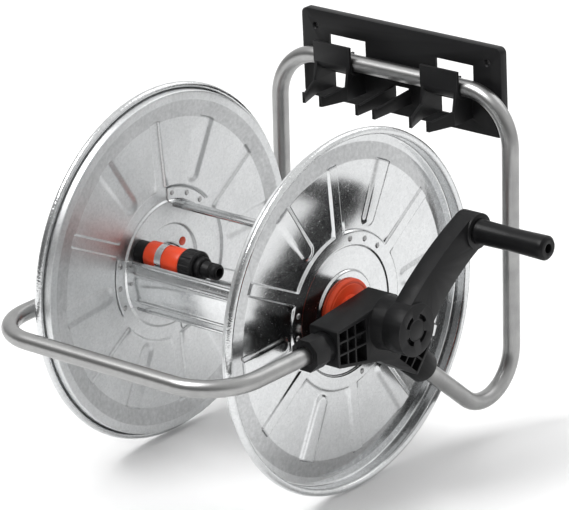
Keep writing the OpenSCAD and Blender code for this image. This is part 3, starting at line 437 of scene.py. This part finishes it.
def surface(name: str, points: np.ndarray, around: bool, along: bool, uv: Optional[np.ndarray] = None,
            **marks: np.ndarray) -> Piece:
    """Smooth mesh over a grid of points, one quad for each cell of the grid.

    Args:
        name: name of the piece.
        points: grid of points in millimetres, of shape (rows, columns, 3).
        around: whether the last column joins the first.
        along: whether the last row joins the first.
        uv: grid of UV pairs with one row and one column more where the grid closes.
        **marks: shares at each point that the finish reads, such as wear, kept as attributes.

    Returns:
        The new object, at the origin.
    """
    rows, columns = points.shape[:2]
    steps = np.arange(rows if along else rows - 1), np.arange(columns if around else columns - 1)
    i, j = np.meshgrid(*steps, indexing="ij")
    here, over = i * columns, (i + 1) % rows * columns
    beside = (j + 1) % columns
    quads = np.stack([here + j, over + j, over + beside, here + beside], -1).reshape(-1, 4)
    mesh = bpy.data.meshes.new(name)
    mesh.vertices.add(rows * columns)
    mesh.vertices.foreach_set("co", (points * MM).astype(np.float32).ravel())
    mesh.loops.add(quads.size)
    mesh.loops.foreach_set("vertex_index", quads.astype(np.int32).ravel())
    mesh.polygons.add(len(quads))
    mesh.polygons.foreach_set("loop_start", np.arange(0, quads.size, 4, dtype=np.int32))
    mesh.polygons.foreach_set("use_smooth", np.ones(len(quads), bool))
    mesh.update(calc_edges=True)
    if uv is not None:
        corners = np.stack([uv[i, j], uv[i + 1, j], uv[i + 1, j + 1], uv[i, j + 1]], 2)
        mesh.uv_layers.new(name="along").data.foreach_set("uv", corners.astype(np.float32).ravel())
    for key, share in marks.items():
        values = share.astype(np.float32).ravel()
        mesh.attributes.new(key, "FLOAT", "POINT").data.foreach_set("value", values)
    mesh.validate()
    return placed(name, mesh)


def outward(piece: Piece, weld: bool = False) -> Piece:
    """Turn the faces of a closed piece outwards, after points at one place are joined where asked."""
    work = bmesh.new()
    work.from_mesh(piece.data)
    if weld:
        bmesh.ops.remove_doubles(work, verts=work.verts, dist=WELD)
    bmesh.ops.recalc_face_normals(work, faces=work.faces)
    work.to_mesh(piece.data)
    work.free()
    return piece


def bent_line(corners: np.ndarray, radii: Sequence[float], steps: int = 20) -> np.ndarray:
    """Points along a bent line: straight runs joined by arcs that touch both runs.

    Args:
        corners: corner points in millimetres.
        radii: bend radius at each inner corner.
        steps: points on each arc.

    Returns:
        Points along the line.
    """
    made = [corners[:1]]
    for before, corner, after, radius in zip(corners[:-2], corners[1:-1], corners[2:], radii):
        a = (corner - before) / np.linalg.norm(corner - before)
        b = (after - corner) / np.linalg.norm(after - corner)
        sweep = math.acos(float(np.clip(a @ b, -1, 1)))
        side = b - a * (a @ b)
        side /= np.linalg.norm(side)
        start = corner - a * radius * math.tan(sweep / 2)
        t = np.linspace(0, sweep, steps)[:, None]
        made.append(start + a * radius * np.sin(t) + side * radius * (1 - np.cos(t)))
    made.append(corners[-1:])
    return np.concatenate(made)


def swept_ring(line: np.ndarray, ring: np.ndarray) -> np.ndarray:
    """Carry a ring of plane points along a line.

    At each point of the line the ring lies square to the tangent. Its first axis is a fixed slanted direction
    with the part along the tangent taken out, so the ring never twists where the line lies in planes square
    to the axes.

    Args:
        line: points along the line, of shape (n, 3).
        ring: points of the section, of shape (m, 2).

    Returns:
        Grid of points, of shape (n, m, 3).
    """
    tangent = np.gradient(line, axis=0)
    tangent /= np.linalg.norm(tangent, axis=1, keepdims=True)
    slant = np.array([1.0, 1.0, 1.0]) / math.sqrt(3)
    first = slant - (tangent @ slant)[:, None] * tangent
    first /= np.linalg.norm(first, axis=1, keepdims=True)
    second = np.cross(tangent, first)
    return line[:, None] + ring[None, :, :1] * first[:, None] + ring[None, :, 1:] * second[:, None]


def circle(radius: float, count: int) -> np.ndarray:
    """Points of a plane circle."""
    t = np.arange(count) * 2 * math.pi / count
    return radius * np.stack([np.cos(t), np.sin(t)], -1)


def hollow(line: np.ndarray, radius: float, wall: float, count: int) -> np.ndarray:
    """Closed grid of a tube: the outer ring carried out along a line and the inner ring carried back.

    Args:
        line: points along the line, of shape (n, 3).
        radius: outer radius.
        wall: thickness of the wall.
        count: points round the tube.

    Returns:
        Grid of points, of shape (2 n, count, 3).
    """
    outer, inner = (swept_ring(line, circle(r, count)) for r in (radius, radius - wall))
    return np.concatenate([outer, inner[::-1]])


def refine(line: np.ndarray, longest: float) -> np.ndarray:
    """Add points to a line so that no step is longer than a length."""
    lengths = np.linalg.norm(np.diff(line, axis=0), axis=1)
    counts = np.maximum(1, np.ceil(lengths / longest).astype(int))
    along = np.concatenate([[0], np.cumsum(lengths)])
    runs = [np.linspace(along[k], along[k + 1], n, endpoint=False) for k, n in enumerate(counts)]
    at = np.concatenate(runs + [along[-1:]])
    return np.stack([np.interp(at, along, line[:, k]) for k in range(3)], -1)


def smooth_step(x: np.ndarray) -> np.ndarray:
    """Zero below 0 and one above 1, with a smooth rise between them."""
    t = np.clip(x, 0, 1)
    return t * t * (3 - 2 * t)


def give(piece: Piece, body: Body, slot: Slot, material: Material, *nodes: str) -> Piece:
    """Dress a new piece, let it ride on its body and stand for its nodes.

    Args:
        piece: the new object.
        body: the body that carries it.
        slot: the record's material slot; not used.
        material: its finish.
        *nodes: CAD nodes that it stands for.

    Returns:
        The piece.
    """
    piece.data.materials.clear()
    piece.data.materials.append(material)
    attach(piece, body.value)
    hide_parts(*nodes)
    LOG.info("%s: %d faces on %s", piece.name, len(piece.data.polygons), body.value)
    return piece


def soft_copy(node: str, name: str, edge: float, segments: int = 2) -> Piece:
    """Copy of a CAD node with its doubles merged, its flat faces joined and its sharp edges rounded.

    Args:
        node: the CAD node.
        name: name of the copy.
        edge: width of the rounded edges in metres.
        segments: faces across a rounded edge.

    Returns:
        The copy, at the origin.
    """
    work = bmesh.new()
    work.from_mesh(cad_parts[node].data)
    bmesh.ops.remove_doubles(work, verts=work.verts, dist=MERGE)
    flat = math.radians(FLAT_ANGLE)
    bmesh.ops.dissolve_limit(work, angle_limit=flat, verts=work.verts, edges=work.edges)
    mesh = bpy.data.meshes.new(name)
    work.to_mesh(mesh)
    work.free()
    mesh.polygons.foreach_set("use_smooth", np.ones(len(mesh.polygons), bool))
    made = placed(name, mesh)
    bevel = made.modifiers.new("soft_edges", "BEVEL")
    bevel.limit_method = "ANGLE"
    bevel.angle_limit = math.radians(SHARP_ANGLE)
    bevel.width = edge
    bevel.segments = segments
    bevel.use_clamp_overlap = True
    bevel.harden_normals = True
    return made


# Drum


@dataclass
class PressedDisc:
    """Pressed sheet disc with a rolled rim, sunk panels, six ribs and six fingers.

    Sizes in millimetres, angles in degrees. A height, with a name in u, is counted from the plane of the rim,
    away from the drum's middle. A pair of radii bounds a slope between two heights.
    """

    # Rings on the flat: from one radius to another in some steps, close together where the sheet turns
    RINGS = ((17, 41, 3), (41, 47, 11), (47, 68, 4), (68, 74, 11), (74, 84, 3), (84, 90, 11), (90, 104, 14),
             (104, 160, 10), (160, 162, 3), (162, 167, 13), (167, 180, 5), (180, 184, 8), (184, 188.4, 3))
    # Columns on half of the finger's top, its wall, the panel, the rib's wall and half of the rib's top
    COLUMNS = (7, 7, 6, 7, 4)
    # Samples in the window that rounds the profile
    SAMPLES = 17
    # Points on the corner below the rolled rim, and on the outside and the inside of the roll
    CORNER_POINTS = 5
    ROLL_POINTS = (26, 12)

    side: Side
    rim_x: float = 134.0
    sheet: float = 1.2
    rounding: float = 0.9
    rib_u: float = -6.5
    panel_u: float = -8.7
    groove_u: float = -11.5
    bore_r: float = 17.0
    seat_slope: Pair = (43.0, 45.0)
    land_slope: Pair = (70.0, 72.0)
    ring_slope: Pair = (86.0, 88.0)
    cone: Pair = (163.0, 182.0)
    cone_edge: float = 0.9
    rim_r: float = 200.0
    bead_r: float = 4.3
    roll_end: float = 108.0
    corner_r: float = 1.6
    corner_lap: float = 0.7
    count: int = 6
    rib_at: float = 26.0
    rib_half: float = 7.0
    rib_wall: float = 2.4
    rib_bunch: float = 0.7
    rib_from_r: float = 79.0
    finger_half: float = 8.5
    finger_in: float = 93.0
    finger_flare: float = 1.25
    finger_wall: float = 6.5
    finger_bunch: float = 0.6
    run_out_r: float = 165.0
    end_wall: float = 1.8

    @property
    def tip(self) -> float:
        """Radius of the middle of a finger's round inner end."""
        return self.finger_in + self.finger_half

    def profile(self) -> np.ndarray:
        """Radius and height of the pressed face's corners, from the bore to the rim."""
        radii = (self.bore_r, *self.seat_slope, *self.land_slope, *self.ring_slope, *self.cone, self.rim_r)
        high, low, deep = [self.rib_u] * 2, [self.panel_u] * 2, [self.groove_u] * 2
        return np.stack([radii, high + low + high + low + deep], -1)

    def radii(self) -> np.ndarray:
        """Radii of the rings on the flat of the disc."""
        return np.unique(np.concatenate([np.linspace(a, b, n + 1) for a, b, n in self.RINGS]))

    def face(self, r: np.ndarray) -> np.ndarray:
        """Height of the plain pressed face: the profile's straight runs, averaged over a short window."""
        window = np.linspace(-self.rounding, self.rounding, self.SAMPLES)
        weights = np.hanning(self.SAMPLES + 2)[1:-1]
        heights = np.interp(r[:, None] + window, *self.profile().T)
        return heights @ weights / weights.sum()

    def finger_width(self, out: np.ndarray) -> np.ndarray:
        """Half width of a finger, which grows evenly from its tip to its outer end."""
        way = np.clip((out - self.tip) / (self.run_out_r - self.tip), 0, 1)
        return self.finger_half * (1 + (self.finger_flare - 1) * way)

    def angles(self, r: np.ndarray) -> np.ndarray:
        """Angles of the grid's columns at each radius.

        Each of the six parts runs from one finger's middle to the next. Its columns bunch up at the walls of
        finger and rib and follow them outwards, so that no wall crosses a column.

        Args:
            r: radii of the rings.

        Returns:
            Angles in radians, of shape (rings, columns).
        """
        at = np.maximum(r, self.tip)[:, None]
        half_step = math.pi / self.count
        soft, steep = self.finger_wall * self.finger_bunch, self.rib_wall * self.rib_bunch
        finger = self.finger_width(at)
        knots = np.concatenate([
            np.full_like(at, -half_step),
            -half_step + np.arcsin((finger - soft) / at),
            -half_step + np.arcsin((finger + soft) / at),
            -np.arcsin((self.rib_half + steep) / at),
            -np.arcsin((self.rib_half - steep) / at),
            np.zeros_like(at)], 1)
        starts, widths = knots[:, :-1, None], np.diff(knots, axis=1)[:, :, None]
        part = np.concatenate([
            starts[:, k] + widths[:, k] * np.arange(n) / n for k, n in enumerate(self.COLUMNS)], 1)
        mirrored = -np.concatenate([part[:, 1:], knots[:, -1:]], 1)[:, ::-1]
        whole = np.concatenate([part, mirrored], 1)
        turns = math.radians(self.rib_at) + np.arange(self.count) * 2 * half_step
        return (whole[:, None, :] + turns[None, :, None]).reshape(len(r), -1)

    def raised(self, r: np.ndarray, angle: np.ndarray) -> np.ndarray:
        """Share of the raised height: one on top of a rib or finger, zero on a panel.

        A rib's wall lies at a fixed distance from its middle line. A finger's lies at a distance that grows
        outwards, and round its inner end at a fixed distance from one point. Both end in a short wall at one
        radius.

        Args:
            r: radii, of shape (rings, 1).
            angle: angles in radians, of shape (rings, columns).

        Returns:
            The share at each point.
        """
        step = 2 * math.pi / self.count
        from_rib = angle - math.radians(self.rib_at)
        turn = (from_rib + step / 2) % step - step / 2
        rib = r * np.abs(np.sin(turn)) - self.rib_half
        other = from_rib % step - step / 2
        x, y = r * np.cos(other), np.abs(r * np.sin(other))
        round_end = np.hypot(x - self.tip, y) - self.finger_half
        finger = np.where(x > self.tip, y - self.finger_width(x), round_end)
        walls = (rib / self.rib_wall, finger / self.finger_wall)
        share = np.maximum(*(smooth_step(0.5 - wall) for wall in walls))
        return share * (r > self.rib_from_r) * smooth_step((self.run_out_r - r) / self.end_wall + 0.5)

    def rim(self) -> tuple[np.ndarray, np.ndarray]:
        """Section of the rolled rim: a rounded corner up to the roll, round it, and back on the inside.

        Returns:
            Radius and height of the points on the outside and on the inside.
        """
        bead_at, bore = self.rim_r - self.bead_r, self.bead_r - self.sheet
        wall_r, bow = self.rim_r - 2 * self.bead_r, self.corner_r
        corner = np.linspace(0.0, math.pi / 2, self.CORNER_POINTS)
        rise = np.stack([wall_r - bow + bow * np.sin(corner), self.groove_u + bow - bow * np.cos(corner)], -1)
        roll, inner = (np.linspace(math.pi, -math.radians(self.roll_end), n) for n in self.ROLL_POINTS)
        out = np.stack([bead_at + self.bead_r * np.cos(roll), self.bead_r * np.sin(roll)], -1)
        back = np.stack([bead_at + bore * np.cos(inner), bore * np.sin(inner)], -1)[::-1]
        under = rise[::-1] + np.array([self.sheet * self.corner_lap, -self.sheet])
        return np.concatenate([rise, out]), np.concatenate([back, under])

    def marks(self, r: np.ndarray, outside: np.ndarray, inside: np.ndarray) -> dict[str, np.ndarray]:
        """Shares that the finish reads on each row: the hose's side, the cone band's painted shade and the
        rolled rim.

        Args:
            r: radii of the rings on the flat.
            outside: section of the rim's outside.
            inside: section of the rim's inside.

        Returns:
            Each share by name, of shape (rows).
        """
        # Share of the cone band that takes the painted shade for its dark reflection
        start, end = self.cone
        past = ((r - start) / self.cone_edge, (end - r) / self.cone_edge)
        drawn = math.prod(smooth_step(share + 0.5) for share in past)
        rim_r = np.concatenate([outside, inside])[:, 0]
        flat = np.zeros(len(r))
        return {
            "rub": np.repeat([0.0, 1.0], [len(r) + len(outside), len(inside) + len(r)]),
            "drawn": np.concatenate([drawn, np.zeros(len(rim_r)), drawn[::-1]]),
            "crimp": np.concatenate([flat, rim_r > self.rim_r - self.bead_r, flat]),
        }

    def build(self, name: str) -> Piece:
        """Grid of the whole sheet: out along the face, round the rolled rim and back along the other face.

        Args:
            name: name of the piece.

        Returns:
            The disc as one closed surface.
        """
        r = self.radii()
        angle = self.angles(r)
        base = self.face(r)[:, None]
        share = self.raised(r[:, None], angle)
        top = base + share * (np.maximum(base, self.rib_u) - base)
        outside, inside = self.rim()
        rim_r, rim_u = np.concatenate([outside, inside]).T[:, :, None]
        level = np.ones_like(angle[-1:])
        radius = np.concatenate([r[:, None], rim_r, r[::-1, None]])
        height = np.concatenate([top, rim_u * level, (top - self.sheet)[::-1]])
        turn = np.concatenate([angle, np.repeat(angle[-1:], len(rim_r), 0), angle[::-1]])
        x = self.side.value * (self.rim_x + height)
        points = np.stack([x, -radius * np.cos(turn), radius * np.sin(turn)], -1)
        marks = {key: mark[:, None] * level for key, mark in self.marks(r, outside, inside).items()}
        return outward(surface(name, points + AXLE, True, True, **marks))

    def dress(self, material: Material) -> None:
        """Build the disc, finish it and let it stand for its node."""
        node = "crank_disc" if self.side is Side.CRANK else "inlet_disc"
        give(self.build("pressed_" + node), Body.DRUM, Slot.SHEET, material, node)


@dataclass
class Stave:
    """Sheet stave of the drum with joggled end flanges, two ridges and two rolled edges.

    Sizes in millimetres, angles in degrees above the drum's front.
    """

    # Points on a flange, on its bend and on half of the web
    FLANGE_POINTS = 5
    BEND_POINTS = 9
    WEB_POINTS = 25
    # Points across the sheet, points round a rolled edge and the longest step along it
    COLUMNS = 93
    CURL_POINTS = 40
    CURL_STEP = 30.0

    node: str
    middle: float
    half: float = 23.0
    sheet: float = 1.2
    web_r: float = 69.4
    flange_r: float = 85.5
    flange_x: float = 125.6
    bend: float = 4.6
    ridge_at: float = 13.0
    ridge_half: float = 3.4
    ridge_h: float = 1.6
    ridge_end: float = 117.0
    ridge_fade: float = 5.0
    curl_at: float = 68.8
    curl_r: float = 2.8
    curl_end: float = 116.1

    def path(self) -> np.ndarray:
        """Middle line of the sheet as radius and X: down a flange, along the web and up the other flange."""
        t = np.linspace(0, math.pi / 2, self.BEND_POINTS)
        flange_r = np.linspace(self.flange_r, self.web_r + self.bend, self.FLANGE_POINTS + 1)[:-1]
        bend_r = self.web_r + self.bend * (1 - np.sin(t))
        bend_x = self.flange_x - self.bend * (1 - np.cos(t))
        web_x = np.linspace(self.flange_x - self.bend, 0, self.WEB_POINTS + 1)[1:]
        r = np.concatenate([flange_r, bend_r, np.full(self.WEB_POINTS, self.web_r)])
        x = np.concatenate([np.full(self.FLANGE_POINTS, self.flange_x), bend_x, web_x])
        near = np.stack([r, x], -1)
        return np.concatenate([near, near[-2::-1] * np.array([1, -1])])

    def lift(self, path: np.ndarray, angle: np.ndarray) -> np.ndarray:
        """Height of the ridges: a raised cosine over each ridge's width that fades out near the flanges."""
        away = np.abs(np.abs(angle) - math.radians(self.ridge_at)) * self.web_r / self.ridge_half
        across = np.where(away < 1, np.cos(np.clip(away, 0, 1) * math.pi / 2) ** 2, 0.0)
        along = smooth_step((self.ridge_end - np.abs(path[:, 1])) / self.ridge_fade)
        return self.ridge_h * along[:, None] * across

    def build(self) -> Piece:
        """Loop round the sheet at each point of its path, drawn together on the rims of the flanges.

        Returns:
            The sheet as one closed surface.
        """
        path = self.path()
        tangent = np.gradient(path, axis=0)
        tangent /= np.linalg.norm(tangent, axis=1, keepdims=True)
        normal = np.stack([-tangent[:, 1], tangent[:, 0]], -1)
        angle = np.radians(np.linspace(-self.half, self.half, self.COLUMNS))
        lift = self.lift(path, angle)
        thick = np.full((len(path), 1), self.sheet / 2)
        thick[[0, -1]] = 0.0
        faces = [path + side * thick * normal for side in (1, -1)]
        rows = [face[:, :1] + lift for face in faces]
        stations = [np.broadcast_to(face[:, 1:], lift.shape) for face in faces]
        r = np.concatenate([rows[0], rows[1][:, ::-1]], 1)
        x = np.concatenate([stations[0], stations[1][:, ::-1]], 1)
        turn = np.concatenate([angle, angle[::-1]]) + math.radians(self.middle)
        points = np.stack([x, -r * np.cos(turn), r * np.sin(turn)], -1)
        rub = np.broadcast_to((path[:, :1] > self.web_r + self.bend / 2).astype(float), r.shape)
        return outward(surface(self.node + "_sheet", points + AXLE, True, False, rub=rub), weld=True)

    def curl(self, side: int) -> Piece:
        """Rolled edge on one side of the web, as a hollow tube along it."""
        at = math.radians(self.middle + side * self.half)
        y, z = -self.curl_at * math.cos(at), self.curl_at * math.sin(at)
        line = refine(np.array([(-self.curl_end, y, z), (self.curl_end, y, z)]), self.CURL_STEP)
        grid = hollow(line, self.curl_r, self.sheet, self.CURL_POINTS)
        return outward(surface(f"{self.node}_curl_{side + 1}", grid + AXLE, True, True))

    def dress(self, material: Material) -> None:
        """Build the sheet and its rolled edges, finish them and let them stand for their node."""
        for piece in (self.build(), self.curl(-1), self.curl(1)):
            give(piece, Body.DRUM, Slot.SHEET, material, self.node)


# Frame


@dataclass
class TubeFrame:
    """Bent tubes of the frame: a rear loop that hangs on the plate and a front bar.

    Sizes in millimetres from the drum's middle, angles in degrees.
    """

    # Points round a tube and the longest step along it
    POINTS = 64
    STEP = 6.0

    tube_r: float = 9.5
    wall: float = 1.5
    arm_x: float = 164.0
    arm_z: float = -5.5
    end: float = 34.0
    rear_ahead: float = 9.0
    rear_slope: float = 41.0
    leg_lean: float = 1.8
    bar_y: float = 242.0
    bar_z: float = 175.0
    low_bend: float = 50.0
    top_bend: float = 58.0
    front_reach: float = 246.0
    front_bend: float = 60.0

    def rear_line(self) -> np.ndarray:
        """Middle line of the rear loop, from one bracket up over the hooks to the other."""
        slope, lean = math.radians(self.rear_slope), math.radians(self.leg_lean)
        along = np.array([math.cos(slope), -math.sin(slope)])
        down = np.array([-math.sin(lean), -math.cos(lean)])
        start = np.array([-self.rear_ahead, self.arm_z])
        bar = np.array([self.bar_y, self.bar_z])
        run = np.linalg.solve(np.stack([along, -down], 1), bar - start)[0]
        yz = np.stack([start + along * self.end, start + along * run, bar])
        near = np.concatenate([np.full((3, 1), self.arm_x), yz], 1)
        far = near[::-1] * np.array([-1, 1, 1])
        bends = (self.low_bend, self.top_bend, self.top_bend, self.low_bend)
        return bent_line(np.concatenate([near, far]), bends)

    def front_line(self) -> np.ndarray:
        """Middle line of the front bar, from one bracket round to the other."""
        y = np.array([-self.end, -self.front_reach, -self.front_reach, -self.end])
        x = self.arm_x * np.array([1, 1, -1, -1])
        return bent_line(np.stack([x, y, np.full(4, self.arm_z)], -1), (self.front_bend, self.front_bend))

    def tube(self, name: str, line: np.ndarray) -> Piece:
        """Hollow tube along a line, with a UV map that runs along it in metres and once round it."""
        line = refine(line, self.STEP)
        grid = hollow(line, self.tube_r, self.wall, self.POINTS)
        length = np.concatenate([[0], np.cumsum(np.linalg.norm(np.diff(line, axis=0), axis=1))]) * MM
        u = np.concatenate([length, length[::-1], length[:1]])
        v = np.arange(self.POINTS + 1) / self.POINTS
        uv = np.stack(np.broadcast_arrays(u[:, None], v[None, :]), -1)
        return outward(surface(name, grid + AXLE, True, True, uv))

    def dress(self, material: Material) -> None:
        """Build both tubes, finish them and let them stand for their nodes."""
        give(self.tube("rear_loop", self.rear_line()), Body.FRAME, Slot.TUBE, material, "rear_frame_tube")
        give(self.tube("front_bar", self.front_line()), Body.FRAME, Slot.TUBE, material, "front_frame_tube")


# Mouldings and small pieces


@dataclass
class Mouldings:
    """Black and orange mouldings with rounded edges, copied from their solids. Edge widths in metres."""

    edge: float = 0.0007
    fine: float = 0.0004

    def dress(self, black: Material, grip: Material, sleeve: Material, hub: Material) -> None:
        """Copy each moulding, finish it and let it stand for its node.

        Args:
            black: finish of the black mouldings.
            grip: finish of the turning grip.
            sleeve: finish of the coupler's orange sleeve.
            hub: finish of the orange hubs, a brighter copy of the orange that is partly painted light.
        """
        plain, orange = Slot.PLASTIC, Slot.ORANGE
        rows = (
            ("wall_plate", Body.PLATE, plain, black, self.edge),
            ("crank_bracket", Body.FRAME, plain, black, self.edge),
            ("inlet_bracket", Body.FRAME, plain, black, self.edge),
            ("front_clamp_nuts", Body.FRAME, plain, black, self.edge),
            ("rear_clamp_collars", Body.FRAME, plain, black, self.edge),
            ("crank_arm", Body.DRUM, plain, black, self.edge),
            ("coupler_ring_nut", Body.DRUM, plain, black, self.fine),
            ("hose_tail", Body.DRUM, plain, black, self.fine),
            ("hose_elbow", Body.DRUM, plain, black, self.fine),
            ("inlet_nut", Body.FRAME, plain, black, self.edge),
            ("inlet_spigot", Body.FRAME, plain, black, self.fine),
            ("crank_cap", Body.DRUM, plain, black, self.fine),
            ("crank_grip", Body.GRIP, plain, grip, self.edge),
            ("crank_hub", Body.DRUM, orange, hub, self.fine),
            ("inlet_hub", Body.DRUM, orange, hub, self.fine),
            ("coupler_sleeve", Body.DRUM, orange, sleeve, self.fine),
        )
        for node, body, slot, material, edge in rows:
            give(soft_copy(node, "soft_" + node, edge), body, slot, material, node)


@dataclass
class SmallPieces:
    """CAD nodes that are shown as they are. Fields name the nodes of each finish."""

    steel: tuple[str, ...] = ("tube_lock_screws", "drive_axle", "crank_screw", "grip_screw")
    rivets: tuple[str, ...] = ("stave_rivets",)
    seals: tuple[str, ...] = ("inlet_o_rings", "tail_o_ring")
    bearings: tuple[str, ...] = ("axle_bush", "thrust_washer")
    bright: tuple[str, ...] = ("coupler_band",)

    def dress(self) -> None:
        """Give each node its finish."""
        finishes = (STEEL, RIVET, RUBBER, BEARING, CHROME)
        for finish, nodes in zip(finishes, (self.steel, self.rivets, self.seals, self.bearings, self.bright)):
            material = finish.material()
            for node in nodes:
                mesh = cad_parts[node].data
                mesh.materials.clear()
                mesh.materials.append(material)
                LOG.info("%s: %s", node, material.name)


# Studio


@dataclass(frozen=True)
class Lamp:
    """Square soft light that faces the drum. Place and side of the square in metres, power in watts."""

    name: str
    at: Triple
    size: float
    watts: float

    def build(self) -> None:
        """Add the light."""
        data = bpy.data.lights.new(self.name, "AREA")
        data.size = self.size
        data.energy = self.watts
        made = bpy.data.objects.new(self.name, data)
        bpy.context.scene.collection.objects.link(made)
        made.location = self.at
        aim = AXLE * MM - np.array(self.at)
        made.rotation_mode = "QUATERNION"
        made.rotation_quaternion = Vector(aim).to_track_quat("-Z", "Y")


@dataclass
class Studio:
    """Camera, soft lights and a pale floor.

    The camera's offset is the drum's middle in its frame, in millimetres. Angles in degrees, other lengths in
    metres, focal length and image width in pixels, sensor in millimetres.
    """

    focal_px: float = 4302.0
    image_w: float = 569.0
    azimuth: float = 41.6
    elevation: float = 20.92
    roll: float = -2.70
    offset: Triple = (-31.4, 33.4, 4625.0)
    sensor: float = 36.0
    clip: Pair = (0.1, 60.0)
    floor_z: float = -0.3695
    floor_half: float = 9.0
    floor_points: int = 5
    floor_dark: Colour = (0.90, 0.90, 0.90)
    floor_light: Colour = (0.92, 0.92, 0.92)
    floor_scale: float = 3.0
    bright_side: Triple = (0.10, 0.80, 0.55)
    fall_off: tuple[float, float, float, float] = (-0.7, 0.6, 0.15, 0.92)
    lamps: tuple[Lamp, ...] = (
        Lamp("key", (-0.9, -1.75, 2.9), 1.8, 105.0),
        Lamp("fill", (0.6, 2.2, 2.4), 2.4, 24.0),
    )

    def view_matrix(self) -> np.ndarray:
        """Rows of the camera's frame: image right, image down and forward."""
        a, e, r = (math.radians(x) for x in (self.azimuth, self.elevation, self.roll))
        x = (math.cos(a), math.sin(a) * math.sin(e), -math.sin(a) * math.cos(e))
        y = (math.sin(a), -math.cos(a) * math.sin(e), math.cos(a) * math.cos(e))
        z = (0.0, -math.cos(e), -math.sin(e))
        turn = np.array([[math.cos(r), -math.sin(r), 0], [math.sin(r), math.cos(r), 0], [0, 0, 1]])
        return turn @ np.array([x, y, z]).T

    def camera(self) -> None:
        """Add the camera at the photograph's place."""
        m = self.view_matrix()
        where = (-m.T @ np.array(self.offset) + AXLE) * MM
        data = bpy.data.cameras.new("camera")
        data.sensor_width = self.sensor
        data.lens = self.focal_px * self.sensor / self.image_w
        data.clip_start, data.clip_end = self.clip
        made = bpy.data.objects.new("camera", data)
        bpy.context.scene.collection.objects.link(made)
        world = np.eye(4)
        world[:3, :3] = np.stack([m[0], -m[1], -m[2]], 1)
        world[:3, 3] = where
        made.matrix_world = Matrix(world.tolist())
        bpy.context.scene.camera = made

    def world(self) -> None:
        """Pale surroundings that fall off towards the front, so that bright metal shows something dark."""
        made = bpy.data.worlds.new("studio")
        bpy.context.scene.world = made
        made.use_nodes = True
        tree = made.node_tree
        back = tree.nodes["Background"]
        coord = tree.nodes.new("ShaderNodeTexCoord")
        axis = tree.nodes.new("ShaderNodeVectorMath")
        axis.operation = "DOT_PRODUCT"
        tree.links.new(coord.outputs["Generated"], axis.inputs[0])
        axis.inputs[1].default_value = self.bright_side
        fall = tree.nodes.new("ShaderNodeMapRange")
        fall.interpolation_type = "SMOOTHSTEP"
        tree.links.new(axis.outputs["Value"], fall.inputs["Value"])
        for key, number in zip(RANGE_KEYS, self.fall_off):
            fall.inputs[key].default_value = number
        back.inputs["Color"].default_value = (1, 1, 1, 1)
        tree.links.new(fall.outputs["Result"], back.inputs["Strength"])

    def floor(self) -> None:
        """Pale floor just below the discs."""
        t = np.linspace(-self.floor_half, self.floor_half, self.floor_points) / MM
        x, y = np.meshgrid(t, t, indexing="ij")
        made = surface("floor", np.stack([x, y, np.full_like(x, self.floor_z / MM)], -1), False, False)
        g = Graph("pale_floor")
        tone = g.blend(g.noise(g.place(), self.floor_scale), self.floor_dark, self.floor_light)
        g.set(Base_Color=tone, Roughness=0.9, Specular_IOR_Level=0.1)
        made.data.materials.append(g.material)

    def build(self) -> None:
        """Set the stage."""
        bpy.context.scene.view_settings.view_transform = "Standard"
        self.camera()
        self.world()
        self.floor()
        for lamp in self.lamps:
            lamp.build()
        LOG.info("studio set")


def main() -> None:
    """Build every sub-assembly in order."""
    logging.basicConfig(level=logging.INFO, format="%(name)s: %(message)s")
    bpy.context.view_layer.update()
    Studio().build()
    sheet, stave_sheet = SHEET.material(), STAVE_SHEET.material()
    for side in Side:
        PressedDisc(side).dress(sheet)
    TubeFrame().dress(TUBE.material())
    Mouldings().dress(PLASTIC.material(), GRIP_PLASTIC.material(), ORANGE.material(), LIT_HUB_ORANGE.material())
    for node, middle in (("stave_front", -4.0), ("stave_upper", 116.0), ("stave_rear", 236.0)):
        Stave(node, middle).dress(stave_sheet)
    SmallPieces().dress()


if __name__ == "__main__":
    main()
